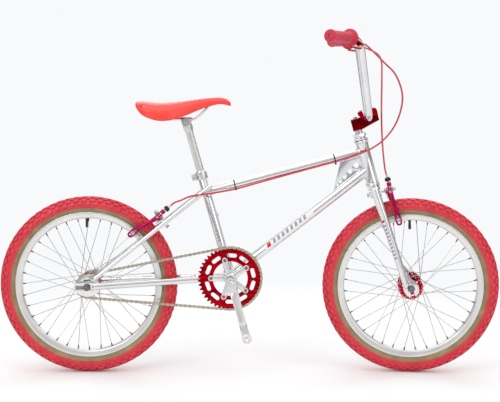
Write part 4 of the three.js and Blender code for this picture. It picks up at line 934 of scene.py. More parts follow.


# ---------- stem ----------
# Two machined blocks of red anodised aluminium clamp the bar, and a steel bolt down the quill
# wedges it in the steerer. Four bolts pull the upper block down on the bar.
# The lower block is a darker copy of the cap's red anodising: painted shade for its place under the bar.
painted_shade_red_block = metal("red anodised aluminium with painted shade", "#8e0310", "#5e0008", 0.25, 14, 0.10, 0.05)
red_lobe = metal("bright red anodised aluminium", "#c00a1c", "#8e0312", 0.22, 14, 0.10, 0.05)
STEM_HALF_WIDTH = 22
BAR_RADIUS = 11.1
bm = bmesh.new()
BAR_BORE = 11.4
half_turn = [pi * i / 16 for i in range(17)]
lower_bore = [(38 + BAR_BORE * cos(t), 184 - BAR_BORE * sin(t)) for t in half_turn]
stem_side = [(-14, 157), (15, 157), (30, 161), (65, 169.5), (65, 184), *lower_bore,
             (20, 184), (15, 190), (-14, 190)]
flat(bm, [stem_side], 2 * STEM_HALF_WIDTH, upright(0), 1.2)
piece("stem_body_machined", bm, painted_shade_red_block, "steering", ["stem_body"], place=STEERED)
bm = bmesh.new()
upper_turn = [0.35 + (pi - 0.7) * i / 12 for i in range(13)]
upper_bore = [(38 + BAR_BORE * cos(t), 184.3 + BAR_BORE * sin(t)) for t in upper_turn]
cap_side = [(65.4, 184.3), (66, 196), *curved((66, 196), (66, 206.5), (57, 207)),
            *curved((57, 207), (48.5, 206.5), (49.2, 197)), (50.4, 190), *upper_bore,
            (26.4, 190), *curved((26.4, 190), (27.5, 208), (18, 208)),
            *curved((18, 208), (9.5, 207.5), (10.6, 197)), (15, 191.4), (20.6, 184.3)]
flat(bm, [cap_side], 2 * STEM_HALF_WIDTH, upright(0), 1.0)
piece("stem_bar_cap_machined", bm, red_lobe, "steering", ["stem_bar_cap"], place=STEERED)
bm = bmesh.new()
rod(bm, (0, 0, 100), (0, 0, 160), 11.05, sides=40)
piece("stem_quill", bm, steel, "steering", place=STEERED)
bm = bmesh.new()
hex_socket(bm, (0, 0, 189.6), Z_AXIS, 5.5, 5.4)
washer(bm, (0, 0, 189.4), (0, 0, 200), 4, 8.5, 1.4, 32)
for y in (-13, 13):
    for x, z in ((56.5, 204.6), (21.8, 206.4)):
        hex_socket(bm, (x, y, z), Z_AXIS, 4.2, 2.6)
piece("stem_bolts", bm, steel, "steering", place=STEERED)


# ---------- handlebar and grips ----------
# One bent chrome tube held in the stem, with a smaller tube welded across between its risers.
# The grips are soft vinyl sleeves with a flange at the inner end and fine rings moulded round.
BAR_FOOT = Vector((38, 52, 184))
BAR_BEND = Vector((67.5, 170, 401.6))
BAR_END = Vector((-6, 345, 425.7))
BAR_REACH = (42, 27, 27, 42)  # how far each bend runs back along its tubes
CROSSBAR_SHARE = 0.58  # of the way up the risers
CROSSBAR_RADIUS = 8
GRIP_LENGTH = 126


def rounded(points, reaches, steps=14):
    """A route through corner points with each inner corner bent over its reach."""
    points = [Vector(p) for p in points]
    route = [points[0]]
    for before, corner, after, reach in zip(points, points[1:], points[2:], reaches):
        bend_from = corner + (before - corner).normalized() * reach
        bend_to = corner + (after - corner).normalized() * reach
        route.append(bend_from)
        route += [Vector(p) for p in curved(bend_from, corner, bend_to, steps)]
    return route + [points[-1]]


bm = bmesh.new()
left_corners = [BAR_FOOT, BAR_BEND, BAR_END]
corners = [*[on_side(corner, -1) for corner in reversed(left_corners)], *left_corners]
swept(bm, rounded(corners, BAR_REACH), BAR_RADIUS, detail=9)
joint = BAR_FOOT.lerp(BAR_BEND, CROSSBAR_SHARE)
rod(bm, on_side(joint, -1), joint, CROSSBAR_RADIUS, sides=40)
for side in (1, -1):
    run = (on_side(BAR_BEND, side) - on_side(BAR_FOOT, side)).normalized()
    end = on_side(joint, side)
    weld(bm, seam(on_side(joint, 0), end, CROSSBAR_RADIUS, end, run, BAR_RADIUS, 48), 1.4)
piece("handlebar_bent", bm, chrome, "steering", ["handlebar"], place=STEERED)

bar_outward = (BAR_END - BAR_BEND).normalized()


def soft_vinyl():
    """Soft moulded vinyl: matte raspberry with a silky haze where the light grazes it."""
    finish, tree, shader, place = new_finish("soft raspberry vinyl", roughness=0.55)
    drift_colour(tree, shader, place, 40.0, 3.0, linear("#c01f3c"), linear("#d12c4b"))
    shader.inputs["Sheen Weight"].default_value = 0.25
    shader.inputs["Sheen Roughness"].default_value = 0.4
    fine_grain(tree, shader, place, 900.0, 2.0, 0.25, 0.0004)
    return finish


grip_vinyl = soft_vinyl()
GRIP_BORE = 11.3
GRIP_RINGS = 26
GRIP_RING_PITCH = 4
grip_flange = [(GRIP_BORE, 0), (22, 0), (23.6, 1), (24, 2.6), (23.4, 4.4), (20, 5.4), (16, 8),
               (15, 11)]
grip_end = [(15, 120), (16.8, 123), (17.2, 126.5), (16.4, 129.6), (14, 131), (4, 131), (3.2, 130),
            (2.4, 128.2), (2, 127.4)]
for hand, side in side_of.items():
    bm = bmesh.new()
    start = on_side(BAR_END - bar_outward * GRIP_LENGTH, side)
    end = on_side(BAR_END, side)
    profile = [*grip_flange]
    for i in range(GRIP_RINGS):
        s = 14 + i * GRIP_RING_PITCH
        profile += [(14.5, s), (15.1, s + 0.9), (15.1, s + 2.4), (14.5, s + 3.3)]
    turned(bm, start, end, [*profile, *grip_end, (GRIP_BORE, 127.4), (GRIP_BORE, 0)], 64)
    piece("grip_" + hand + "_moulded", bm, grip_vinyl, "steering", ["grip_" + hand], place=STEERED)


# ---------- brake levers ----------
# A cast clamp on the bar holds a long curved blade on a pivot screw. Both are aluminium,
# anodised red, and a knurled barrel on the clamp takes the end of the cable's housing.
red_lever = metal("red anodised aluminium", "#c3162a", "#96101f", 0.24, 14, 0.10, 0.05)
LEVER_AT = 50
LEVER_DROP = radians(50)
on_bar = BAR_BEND + LEVER_AT * bar_outward
lever_forward = bar_outward.cross(Z_AXIS).normalized()
lever_turn = Matrix((lever_forward, bar_outward, lever_forward.cross(bar_outward))).transposed().to_4x4()
lever_place = Matrix.Translation(on_bar) @ lever_turn @ Matrix.Rotation(LEVER_DROP, 4, "Y")
mirror_to = {hand: Matrix.Diagonal((1, side, 1, 1)) for hand, side in side_of.items()}
LEVER = {hand: STEERED @ mirror @ lever_place for hand, mirror in mirror_to.items()}
clamp_band = [(11.3, 0), (14, 0), (14.8, 0.9), (14.8, 17.1), (14, 18), (11.3, 18), (11.3, 0)]
lever_cheek = [(12, -8), (30, -9), *curved((30, -9), (39, -6), (37.5, 4)),
               *curved((37.5, 4), (36, 11), (28, 10)), (12, 8)]
LEVER_PIVOT = (31, 4, 0)
# The blade's middle line from its pivot to its tip, and its half-width at each point.
BLADE_LINE = [
    (31, 4, 0, 5.2), (34.5, 11, 0, 5.6), (39.5, 21, 0, 5.6), (45.5, 35, 0, 5.4), (47.6, 50, 0, 5),
    (47, 66, 0, 4.6), (44.4, 84, 0, 4.6), (44, 89, 0, 4.8),
]
for hand in side_of:
    bm = bmesh.new()
    turned(bm, (0, -9, 0), (0, 9, 0), clamp_band, 56)
    for z in (-5.1, 5.1):
        flat(bm, [lever_cheek], 3, Matrix.Translation((0, 0, z)), 0.8)
    block(bm, (19, -3, 0), (9, 12, 9))
    turned(bm, (26, -9, 0), (26, -20, 0),
           [(4.4, 0), (4.4, 3), (5.4, 3.4), (5.4, 8), (4.8, 8.6), (4.4, 11)], 24)
    block(bm, (-14.5, 0, 0), (7, 12, 9))
    piece("lever_clamp_" + hand + "_cast", bm, red_lever, "steering", ["lever_clamp_" + hand],
          place=LEVER[hand], bevel=0.5)
    bm = bmesh.new()
    blade = smooth_route(BLADE_LINE, 2.5)
    swept(bm, [p.to_3d() for p in blade], 1, [p[3] for p in blade], detail=6,
          matrix=Matrix.Diagonal((1, 1, 0.62, 1)))
    ball(bm, (44, 90.5, 0), 5.2, (1, 1, 0.7), 28)
    ball(bm, LEVER_PIVOT, 5.4, (1, 1, 0.6), 28)
    piece("lever_blade_" + hand + "_forged", bm, red_lever, "lever_" + hand, ["lever_blade_" + hand],
          place=LEVER[hand])
    bm = bmesh.new()
    hex_socket(bm, (31, 4, 6.6), Z_AXIS, 4.2, 2.2)
    hex_nut(bm, (31, 4, -6.6), -Z_AXIS, 7, 2.6)
    hex_socket(bm, (-16, 0, 4.5), Z_AXIS, 3, 2)
    piece("lever_screws_" + hand, bm, steel, "steering", place=LEVER[hand])


# ---------- rim brakes ----------
# Side-pull callipers of forged aluminium, anodised pink: two arms that cross on one bolt, each
# with a slotted loop for its pad's stud. A bent steel wire springs the arms apart.
pink_anodised = metal("raspberry pink anodised aluminium", "#cc1c66", "#a5104e", 0.26, 12, 0.10, 0.05)


def pad_rubber():
    """Cast polyurethane for brake pads: off-white, half clear and a little waxy."""
    finish, tree, shader, place = new_finish("off-white polyurethane", roughness=0.42)
    drift_colour(tree, shader, place, 90.0, 3.0, linear("#d9d6cf"), linear("#ece9e2"), 0.3)
    shader.inputs["Subsurface Weight"].default_value = 0.2
    shader.inputs["Subsurface Radius"].default_value = (0.004, 0.004, 0.003)
    return finish


pad_cast = pad_rubber()
ARM_THICKNESS = 6.6
ARM_GAP = 0.3
PAD_CENTRE_Y = 23.5
LOOP_Y = 33
rear_turn = Matrix((facing, Y_AXIS, away)).transposed().to_4x4()
BRAKES = {  # place, body, standoff, pad's depth, nut's depth, and the axle from the bolt
    "front": (STEERED @ Matrix.Translation((0, 0, -BRAKE_BOLT_DROP)), "steering", 34, 44, -24,
              Vector((FORK_RAKE, BRAKE_BOLT_DROP - AXLE_BELOW_HEAD))),
    "rear": (BIKE @ Matrix.Translation(bridge_centre) @ rear_turn, "frame", 17, 34, -18,
             Vector(((Vector((0, 0, TYRE_RADIUS)) - bridge_centre).dot(facing),
                     (Vector((0, 0, TYRE_RADIUS)) - bridge_centre).dot(away)))),
}
RIM_MIDDLE = 200


def calliper_arm(bm, x, route, pad_x, side, pad_z):
    """An arm swept through (y, z) points at one depth, then out to its pad's loop."""
    bends = [(x, y, z, r) for y, z, r in route]
    bends += [((2 * x + pad_x) / 3, side * LOOP_Y, -40, 5), (pad_x, side * LOOP_Y, pad_z + 21, 5),
              (pad_x, side * LOOP_Y, pad_z + 12, 5)]
    smooth = smooth_route(bends, 2.5)
    swept(bm, [p.to_3d() for p in smooth], 1, [p[3] for p in smooth], detail=5)
    boss = [(3.4, 0), (8.2, 0), (8.8, 0.8), (8.8, 5.8), (8.2, ARM_THICKNESS),
            (3.4, ARM_THICKNESS), (3.4, 0)]
    turned(bm, (x - ARM_THICKNESS / 2, 0, 0), (x, 0, 0), boss, 40)
    loop = obround((pad_x, pad_z - 9), (pad_x, pad_z + 12), 9)
    slot = obround((pad_x, pad_z - 9), (pad_x, pad_z + 8), 3.8)
    flat(bm, [loop, slot], 6, upright(side * LOOP_Y), 1.2)


THUMB_RIBS = 16
thumb_nut = [(4, 0), (7.6, 0), (8, 0.8), (8, 8.2), (7.4, 9), (5.2, 11), (4, 11), (4, 0)]
spring_seat = [(3, 0), (7, 0), (7.5, 0.6), (7.5, 5.4), (7, 6.6), (3, 6.6)]
for end, (at, body, standoff, pad_x, nut_x, axle_at) in BRAKES.items():
    pad_z = axle_at.y + sqrt(RIM_MIDDLE**2 - (pad_x - axle_at.x) ** 2)
    c_x = standoff + ARM_THICKNESS / 2
    y_x = c_x + ARM_THICKNESS + ARM_GAP
    arm_c, arm_y = end + "_brake_c", end + "_brake_y"
    bm = bmesh.new()
    c_route = [(-30, -3, 4.6), (-14, 1, 5), (0, 0, 6), (20, -3, 5.4), (31, -16, 5)]
    calliper_arm(bm, c_x, c_route, pad_x, 1, pad_z)
    ball(bm, (c_x, -30, -3), 6, (0.9, 1, 1), 24)
    piece(end + "_c_arm_forged", bm, pink_anodised, arm_c, [end + "_brake_arm_c"], place=at)
    bm = bmesh.new()
    calliper_arm(bm, y_x, [(0, 0, 6), (-20, -3, 5.4), (-31, -16, 5)], pad_x, -1, pad_z)
    lift = smooth_route([(y_x, 0, 0, 5.6), (y_x, -14, 8, 5), (y_x, -24, 18, 4.8)], 2.5)
    swept(bm, [p.to_3d() for p in lift], 1, [p[3] for p in lift], detail=5)
    turned(bm, (y_x, -27, 13), (y_x, -27, 24),
           [(2, 0), (6, 0), (6.6, 1), (6.6, 10), (6, 11), (2, 11), (2, 0)], 32)
    piece(end + "_y_arm_forged", bm, pink_anodised, arm_y, [end + "_brake_arm_y"], place=at)

    # The housing stops in a steel barrel with a black nylon thumb nut; the bare wire
    # goes on down to a pinch bolt on the other arm.
    bm = bmesh.new()
    turned(bm, (y_x, -27, 9), (y_x, -27, 40), [(3.2, 0), (3.2, 17), (4, 18), (4, 31), (2.6, 31)], 24)
    swept(bm, [(y_x, -27, 12), (c_x + 5, -29, 0), (c_x + 4, -30, -8)], 0.8, detail=2)
    piece(end + "_adjuster_barrel", bm, steel, arm_y, place=at)
    bm = bmesh.new()
    turned(bm, (y_x, -27, 28), (y_x, -27, 39), thumb_nut, 32)
    for i in range(THUMB_RIBS):
        turn = Matrix.Rotation(tau * i / THUMB_RIBS, 4, "Z")
        block(bm, Vector((y_x, -27, 32.5)) + (turn @ Vector((8, 0, 0))), (0.9, 1.4, 7), turn)
    piece(end + "_adjuster_thumb_nut", bm, black_nylon, arm_y, place=at)
    bm = bmesh.new()
    hex_nut(bm, (c_x + 3, -30, -3), (1, 0, 0), 9, 5)
    washer(bm, (c_x + 2.6, -30, -3), (c_x + 9, -30, -3), 1, 5.6, 1.2, 24)
    piece(end + "_cable_pinch_nut", bm, steel, arm_c, place=at)

    bm = bmesh.new()
    nose = y_x + ARM_THICKNESS / 2 + ARM_GAP
    rod(bm, (nut_x, 0, 0), (nose + 12, 0, 0), 3, sides=20)
    hex_nut(bm, (nose, 0, 0), (1, 0, 0), 11, 4.4)
    turned(bm, (nose + 4.6, 0, 0), (nose + 12, 0, 0),
           [(3, 0), (6.2, 0), (6.2, 2), (5.2, 4.6), (3, 5.4)], 28)
    hex_nut(bm, (nut_x, 0, 0), (1, 0, 0), 10.5, 5)
    turned(bm, (standoff - 7, 0, 0), (standoff, 0, 0), spring_seat, 32)
    wire_half = [(standoff - 3.5, 25, -20), (standoff - 4, 13, -3), (standoff - 4, 8.5, 4)]
    wire = [*wire_half, (standoff - 4, 0, 8.6), *[on_side(p, -1) for p in reversed(wire_half)]]
    swept(bm, smooth_route(wire, 2), 0.9, detail=2)
    piece(end + "_brake_bolt_and_spring", bm, steel, body, [end + "_brake_bolt"], place=at)

    for hand, side in side_of.items():
        bm = bmesh.new()
        pad_block = block(bm, (pad_x, side * PAD_CENTRE_Y, pad_z), (46, 12, 11))
        for v in pad_block:
            v.co.z += -((v.co.x - pad_x) / RIM_MIDDLE) * (v.co.x - axle_at.x) * 0.5
        for groove in (-11, 0, 11):
            block(bm, (pad_x + groove, side * PAD_CENTRE_Y, pad_z), (1.2, 12.6, 11.6))
        arm = arm_c if side > 0 else arm_y
        piece(end + "_pad_" + hand + "_cast", bm, pad_cast, arm, [end + "_brake_pad_" + hand],
              place=at, bevel=1.2)
        bm = bmesh.new()
        rod(bm, (pad_x, side * 27, pad_z), (pad_x, side * 43, pad_z), 3, sides=20)
        hex_nut(bm, (pad_x, side * 36.4, pad_z), (0, side, 0), 10.4, 5)
        washer(bm, (pad_x, side * 29.4, pad_z), (pad_x, side * 29.9, pad_z), 3, 8, 0.9, 28)
        piece(end + "_pad_stud_" + hand, bm, steel, arm, place=at)


# ---------- wheels ----------
# Tyres of red rubber with tan side walls and rows of moulded knobs, on hollow aluminium rims,
# laced with 36 crossed steel spokes to red high-flange hubs.
def rubber(name, light, dark, roughness):
    """Moulded rubber: even and dull, with a fine grain and a little dust in the grain."""
    finish, tree, shader, place = new_finish(name, roughness=roughness)
    drift_colour(tree, shader, place, 30.0, 4.0, linear(dark), linear(light))
    fine_grain(tree, shader, place, 1100.0, 3.0, 0.3, 0.0004)
    return finish


red_rubber = rubber("moulded red rubber", "#dc3a48", "#cd2f3e", 0.5)
tan_rubber = rubber("tan side-wall rubber", "#a18a66", "#87734f", 0.6)
black_rubber = rubber("black rubber", "#202022", "#17171a", 0.5)
hub_red = metal("bright red anodised aluminium hub", "#cc1030", "#a00a22", 0.2, 12, 0.08, 0.04)
axle_steel = metal("oiled axle steel", "#8b8b8a", "#6a6a6a", 0.3, 6, 0.12, 0.06)
WHEEL_STEPS = 128
KNOBS_ROUND = 66
KNOB_ROWS = [(-72, 0), (-47, 0.5), (-23, 0), (0, 0.5), (23, 0), (47, 0.5), (72, 0)]
CASING = (228.2, 21.4)  # the tyre's round section: its centre's radius, and its own radius
CASING_THICKNESS = 3
KNOB_TOP = 25.2  # from the section's centre
SPOKES_PER_SIDE = 18
SPOKE_CROSSING = radians(60)
SPOKE_RADIUS = 1.0
RIM_INNER_RADIUS = 190
FLANGE_HOLES = 9
THREAD_PITCH = 1.25
wheel_places = {
    "front": STEERED @ Matrix.Translation(front_axle),
    "rear": BIKE @ Matrix.Translation((0, 0, TYRE_RADIUS)),
}
HUBS = {  # flange radius, flanges and ends right and left, clamping faces, axle reach
    "front": (35, -30, 30, -42, 42, FORK_FACE, 66),
    "rear": (30, -25, 31, -33, 46, DROPOUT_FACE, 74),
}
VALVE_TURN = {"front": HEAD_ANGLE - radians(1.7), "rear": radians(-1.9)}
clamped_to = {"front": "steering", "rear": "frame"}


def ring_section(bm, profile, steps=WHEEL_STEPS):
    """A ring round the axle, from its section's (radius, y) points."""
    turned(bm, (0, 0, 0), (0, 1, 0), [*profile, profile[0]], steps)


def both_sides(profile):
    """A half section with its mirror image across the wheel's middle."""
    return [*profile, *[(r, -y) for r, y in reversed(profile)]]


def round_axle(angle, radius, y):
    """A point at an angle forwards from straight up, at a radius from the axle."""
    return Vector((radius * sin(angle), y, radius * cos(angle)))


def casing_arc(centre_radius, radius, degrees):
    """Part of the tyre's round section, as (radius, y) points at angles from the tread's top."""
    turns = [radians(d) for d in degrees]
    return [(centre_radius + radius * cos(t), radius * sin(t)) for t in turns]


for end, at in wheel_places.items():
    body = end + "_wheel"
    flange_radius, right_flange, left_flange, right_end, left_end, face, reach = HUBS[end]
    round_r, round_size = CASING
    outer = casing_arc(round_r, round_size, range(110, -1, -10))
    inner = casing_arc(round_r, round_size - CASING_THICKNESS, range(0, 111, 22))
    bm = bmesh.new()
    far_outer = [(r, -y) for r, y in reversed(outer[:-1])]
    far_inner = [(r, -y) for r, y in reversed(inner)]
    ring_section(bm, [*outer, *far_outer, *far_inner, *inner[1:]])
    for row, shift in KNOB_ROWS:
        shoulder = abs(row) > 60
        size = (12 if shoulder else 15, 9.5 if shoulder else 8.2, KNOB_TOP - round_size + 1.6)
        for i in range(KNOBS_ROUND):
            seat = (Matrix.Rotation(tau * (i + shift) / KNOBS_ROUND, 4, "Y")
                    @ Matrix.Translation((0, 0, round_r)) @ Matrix.Rotation(radians(-row), 4, "X"))
            knob = Matrix.Translation((0, 0, KNOB_TOP - size[2] / 2)) @ Matrix.Diagonal((*size, 1))
            bmesh.ops.create_cube(bm, size=1, matrix=seat @ knob)
    piece(end + "_tyre_moulded", bm, red_rubber, body, [end + "_tyre"], place=at, bevel=0.5)
    bm = bmesh.new()
    for side in (1, -1):
        wall = [(221.6, 21.6), (218, 19.6), (213.5, 16.6), (210.4, 14.4), (209.2, 12.7), (204, 12.3),
                (204, 9), (210, 10), (221.4, 17.6)]
        ring_section(bm, [(r, side * y) for r, y in wall])
    piece(end + "_tyre_side_walls", bm, tan_rubber, body, place=at)
    bm = bmesh.new()
    ring_section(bm, both_sides([(200.6, 6), (202.6, 12.4), (208.2, 12.9), (209.2, 13.5), (209.2, 14.6),
                                 (208, 15), (203.2, 14.8), (200.4, 13.9), (195.4, 13.5), (193.6, 12.9),
                                 (191.2, 10.2), (190.2, 6)]))
    for i in range(2 * SPOKES_PER_SIDE):
        turn = tau * i / (2 * SPOKES_PER_SIDE)
        turned(bm, round_axle(turn, 191, 4 * (-1) ** i), round_axle(turn, 180, 4 * (-1) ** i),
               [(3.1, 0), (3.1, 1.4), (2.2, 2)], 12)
    piece(end + "_rim_extruded", bm, satin_alloy, body, [end + "_rim"], place=at)

    nipples = bmesh.new()
    for hand, side in side_of.items():
        bm = bmesh.new()
        flange = (left_flange if side > 0 else -right_flange) + 1.5
        for i in range(SPOKES_PER_SIDE):
            head_turn = tau * (i + 0.25 * (1 + side)) / SPOKES_PER_SIDE
            outside = 2 * (i % 2) - 1
            head = round_axle(head_turn, flange_radius - 4, side * (flange + 2.7 * outside))
            foot = round_axle(head_turn + outside * SPOKE_CROSSING, RIM_INNER_RADIUS - 1, side * 3.4)
            rod(bm, head, foot, SPOKE_RADIUS, sides=10)
            far = round_axle(head_turn, flange_radius - 4, side * (flange - 2.2 * outside))
            rod(bm, head, far, SPOKE_RADIUS, sides=10)
            ball(bm, far, 1.9, (1, 0.6, 1), 12)
            run = (foot - head).normalized()
            turned(nipples, foot + run * 1.5, foot - run * 11,
                   [(2.4, 0), (2.4, 1.4), (1.6, 2), (1.5, 8.6), (1.2, 9)], 12)
        piece(f"{end}_spokes_{hand}_drawn", bm, steel, body, [f"{end}_spokes_{hand}"], place=at)
    piece(end + "_nipples", nipples, painted_gap_shade_and_nipple_steel, body, place=at)

    bm = bmesh.new()
    flange = [ring_of(0, 0, flange_radius, 96), ring_of(0, 0, 11, 48)]
    if end == "front":
        for i in range(FLANGE_HOLES):
            turn = tau * (i + 0.5) / FLANGE_HOLES
            flange.append(ring_of(22 * sin(turn), 22 * cos(turn), 4.2, 14))
    for middle in (left_flange + 1.5, right_flange - 1.5):
        flat(bm, flange, 3.2, upright(middle), 0.7)
    hub_right = [(5.3, right_end), (9, right_end), (9.6, right_end + 1), (11.6, right_flange - 5),
                 (15.6, right_flange - 3), (16, right_flange), (13, right_flange + 4),
                 (12, right_flange + 12)]
    hub_left = [(12, left_flange - 12), (13, left_flange - 4), (16, left_flange),
                (15.6, left_flange + 3), (11.6, left_flange + 5), (9.6, left_end - 1), (9, left_end),
                (5.3, left_end)]
    ring_section(bm, [*hub_right, *hub_left], 64)
    piece(end + "_hub_turned", bm, hub_red, body, [end + "_hub"], place=at)

    bm = bmesh.new()
    turned(bm, (0, -reach, 0), (0, reach, 0),
           [(3.8, 0), (4.7, 1), (4.7, 2 * reach - 1), (3.8, 2 * reach)], 28)
    for i in range(int((reach - face - 15.3) / THREAD_PITCH)):
        for side in (1, -1):
            turned(bm, (0, side * (face + 14.6 + THREAD_PITCH * i), 0), (0, side * 200, 0),
                   [(4.4, 0), (5.0, 0.5), (4.4, 1), (4.4, 0)], 24)
    for side in (1, -1):
        out = side * Y_AXIS
        wall = out * (face + 5.3)
        washer(bm, wall, wall + out, 4.8, 10.5, 1.4, 36)
        hex_nut(bm, wall + out * 1.4, out, 15, 7.6)
        washer(bm, wall + out * 1.4, wall + out * 20, 4.8, 9.4, 1.6, 36)
        hex_nut(bm, out * (face - 6), out, 15, 5.7)
    piece(end + "_axle_and_nuts", bm, axle_steel, clamped_to[end], [end + "_axle"], place=at, bevel=0.5)

    bm = bmesh.new()
    turn = VALVE_TURN[end]
    turned(bm, round_axle(turn, 191, 0), round_axle(turn, 150, 0),
           [(4.1, 0), (4.1, 4), (3.6, 8), (3.6, 12), (4.2, 12.6), (4.2, 25), (3.4, 27)], 24)
    piece(end + "_valve_and_cap", bm, black_rubber, body, place=at)


# ---------- cranks and chain drive ----------
# Forged aluminium cranks on a square-ended spindle; the right one's five-armed spider carries a
# red chainring. A bush roller chain of nickel-plated links runs to a 16-tooth freewheel.
CHAIN_Y = -43
PITCH = 12.7
RING_TEETH = 44
FREEWHEEL_TEETH = 16
SPROCKET_THICKNESS = 2.8
CRANK_LENGTH = 175
CRANK_TURN = radians(16)
BOLT_CIRCLE = 55
crank_line = Vector((sin(CRANK_TURN), 0, -cos(CRANK_TURN)))
ring_red = metal("deep red anodised ring", "#bf0a1e", "#930414", 0.2, 16, 0.10, 0.05)
chain_nickel = metal("nickel-plated chain steel", "#cbc2b0", "#a59a86", 0.26, 5, 0.10, 0.05)
pale_cap = metal("zinc-plated dust cap", "#dfe4e8", "#c4ccd2", 0.22, 8, 0.08, 0.03)


def pitch_radius(teeth):
    """The radius at which the chain's pins run round a sprocket."""
    return PITCH / (2 * sin(pi / teeth))


def sprocket(teeth):
    """Round seats for the rollers, with a short blunt tooth between each two."""
    step = tau / teeth
    radius = pitch_radius(teeth)
    shape = [(-0.5, -3.9), (-0.38, -3.4), (-0.29, -1.6), (-0.17, 1.6), (-0.07, 3.3), (0.07, 3.3),
             (0.17, 1.6), (0.29, -1.6), (0.38, -3.4)]
    rim = [((i + 0.5 + share) * step, radius + rise) for i in range(teeth) for share, rise in shape]
    return [(r * cos(turn), r * sin(turn)) for turn, r in rim]


def ring_slot(centre_angle):
    """One of the chainring's round-ended windows."""
    x, z = 66.5 * cos(centre_angle), 66.5 * sin(centre_angle)
    dx, dz = -8.5 * sin(centre_angle), 8.5 * cos(centre_angle)
    return obround((x - dx, z - dz), (x + dx, z + dz), 5.6)


spider_angles = [radians(34.6 + 72 * i) for i in range(5)]
at_bracket = Matrix.Translation(bracket)
bm = bmesh.new()
ring_holes = [ring_slot(a + radians(turn)) for a in spider_angles for turn in (-20.4, 20.4)]
flat(bm, [sprocket(RING_TEETH), ring_of(0, 0, 49.5, 96), *ring_holes], SPROCKET_THICKNESS,
     at_bracket @ upright(CHAIN_Y), 0.5)
piece("chainring_cut", bm, ring_red, "cranks", ["chainring"])

# The arm's half-width, inner side and outer side at its root, middle and end.
CRANK_SIZES = [(0, 14, 50, 64), (0.5, 10.5, 58, 69), (1, 11, 67, 78)]
crank_boss = [(8.4, 0), (17, 0), (17.2, 1), (15.4, 18.2), (14.6, 19), (11.6, 19), (10.8, 18),
              (10.8, 14), (8.4, 14), (8.4, 0)]
pedal_eye = [(7.2, 0), (13, 0), (14, 1), (14, 12), (13, 13), (8.2, 13), (7.2, 12), (7.2, 0)]
dust_cap = [(10.6, 0), (10.6, 6.6), (9.8, 8.2), (6, 8.6), (4.6, 7.8)]
across = Vector((-crank_line.z, 0, crank_line.x))
for hand, side in side_of.items():
    bm = bmesh.new()
    bmesh.ops.create_cube(bm, size=1)
    long_edges = [e for e in bm.edges if abs((e.verts[0].co - e.verts[1].co).z) > 0.5]
    bmesh.ops.subdivide_edges(bm, edges=long_edges, cuts=9, use_grid_fill=True)
    outer_faces = [f for f in bm.faces if f.calc_center_median().y > 0.49
                   and abs(f.calc_center_median().z) < 0.38]
    bmesh.ops.inset_region(bm, faces=outer_faces, thickness=0.17, depth=0)
    for f in outer_faces:
        for v in f.verts:
            v.co.y = 0.36
    for v in bm.verts:
        share = v.co.z + 0.5
        low, high = CRANK_SIZES[:2] if share < 0.5 else CRANK_SIZES[1:]
        t = (share - low[0]) / 0.5
        width, inner_y, outer_y = (a + (b - a) * t for a, b in zip(low[1:], high[1:]))
        y = inner_y + (outer_y - inner_y) * (v.co.y + 0.5)
        middle = bracket - side * crank_line * share * CRANK_LENGTH
        v.co = middle + across * v.co.x * 2 * width + Y_AXIS * side * y
    out = side * Y_AXIS
    turned(bm, bracket + out * 47, bracket + out * 66, crank_boss, 56)
    eye = bracket - side * crank_line * CRANK_LENGTH + out * 66
    turned(bm, eye, eye + out, pedal_eye, 48)
    if side < 0:
        for a in spider_angles:
            tip = (BOLT_CIRCLE * cos(a), BOLT_CIRCLE * sin(a))
            flat(bm, [obround((0, 0), tip, 8)], 6.2, at_bracket @ upright(-47.9), 1.4)
    piece(f"crank_{hand}_forged", bm, satin_alloy, "cranks", ["crank_arm_" + hand], bevel=1.1)
    bm = bmesh.new()
    turned(bm, bracket + out * 58, bracket + out * 70, dust_cap, 48)
    piece(f"crank_dust_cap_{hand}", bm, pale_cap, "cranks")
bm = bmesh.new()
for a in spider_angles:
    seat = bracket + Vector((BOLT_CIRCLE * cos(a), -51, BOLT_CIRCLE * sin(a)))
    hex_socket(bm, seat, -Y_AXIS, 4.6, 2.6)
    washer(bm, seat + Y_AXIS * 12, seat + Y_AXIS * 9.4, 2.5, 5, 2.4, 24)
piece("chainring_bolts", bm, axle_steel, "cranks")
bm = bmesh.new()
rod(bm, bracket - Y_AXIS * 57, bracket + Y_AXIS * 57, 8.1, sides=40)
piece("crank_spindle_ground", bm, steel, "cranks", ["crank_spindle"])

bm = bmesh.new()
flat(bm, [sprocket(FREEWHEEL_TEETH), ring_of(0, 0, 20, 48)], SPROCKET_THICKNESS, upright(CHAIN_Y), 0.4)
freewheel_drum = [
    (9.4, 0), (23, 0), (24, 1), (24, 11), (23, 12), (19.5, 12), (19, 11.2), (17, 11.2), (16.4, 12),
    (11.4, 12), (9.4, 11), (9.4, 0),
]
turned(bm, (0, CHAIN_Y + 6, 0), (0, CHAIN_Y - 6, 0), freewheel_drum, 56)
for i in range(4):
    turn = Matrix.Rotation(tau * i / 4, 4, "Y")
    block(bm, turn @ Vector((13, CHAIN_Y - 6, 0)), (3, 1.6, 4), turn)
piece("freewheel_cut", bm, chain_nickel, "freewheel", ["rear_freewheel"], place=wheel_places["rear"])

big, small = pitch_radius(RING_TEETH), pitch_radius(FREEWHEEL_TEETH)
rear_axle = Vector((0, 0, TYRE_RADIUS))
apart = bracket - rear_axle
chain_line = atan2(apart.z, apart.x)
wrap = acos((small - big) / hypot(apart.x, apart.z))
free_span = hypot(apart.x, apart.z) * sin(wrap)
arcs = [2 * wrap * big, free_span, (tau - 2 * wrap) * small, free_span]


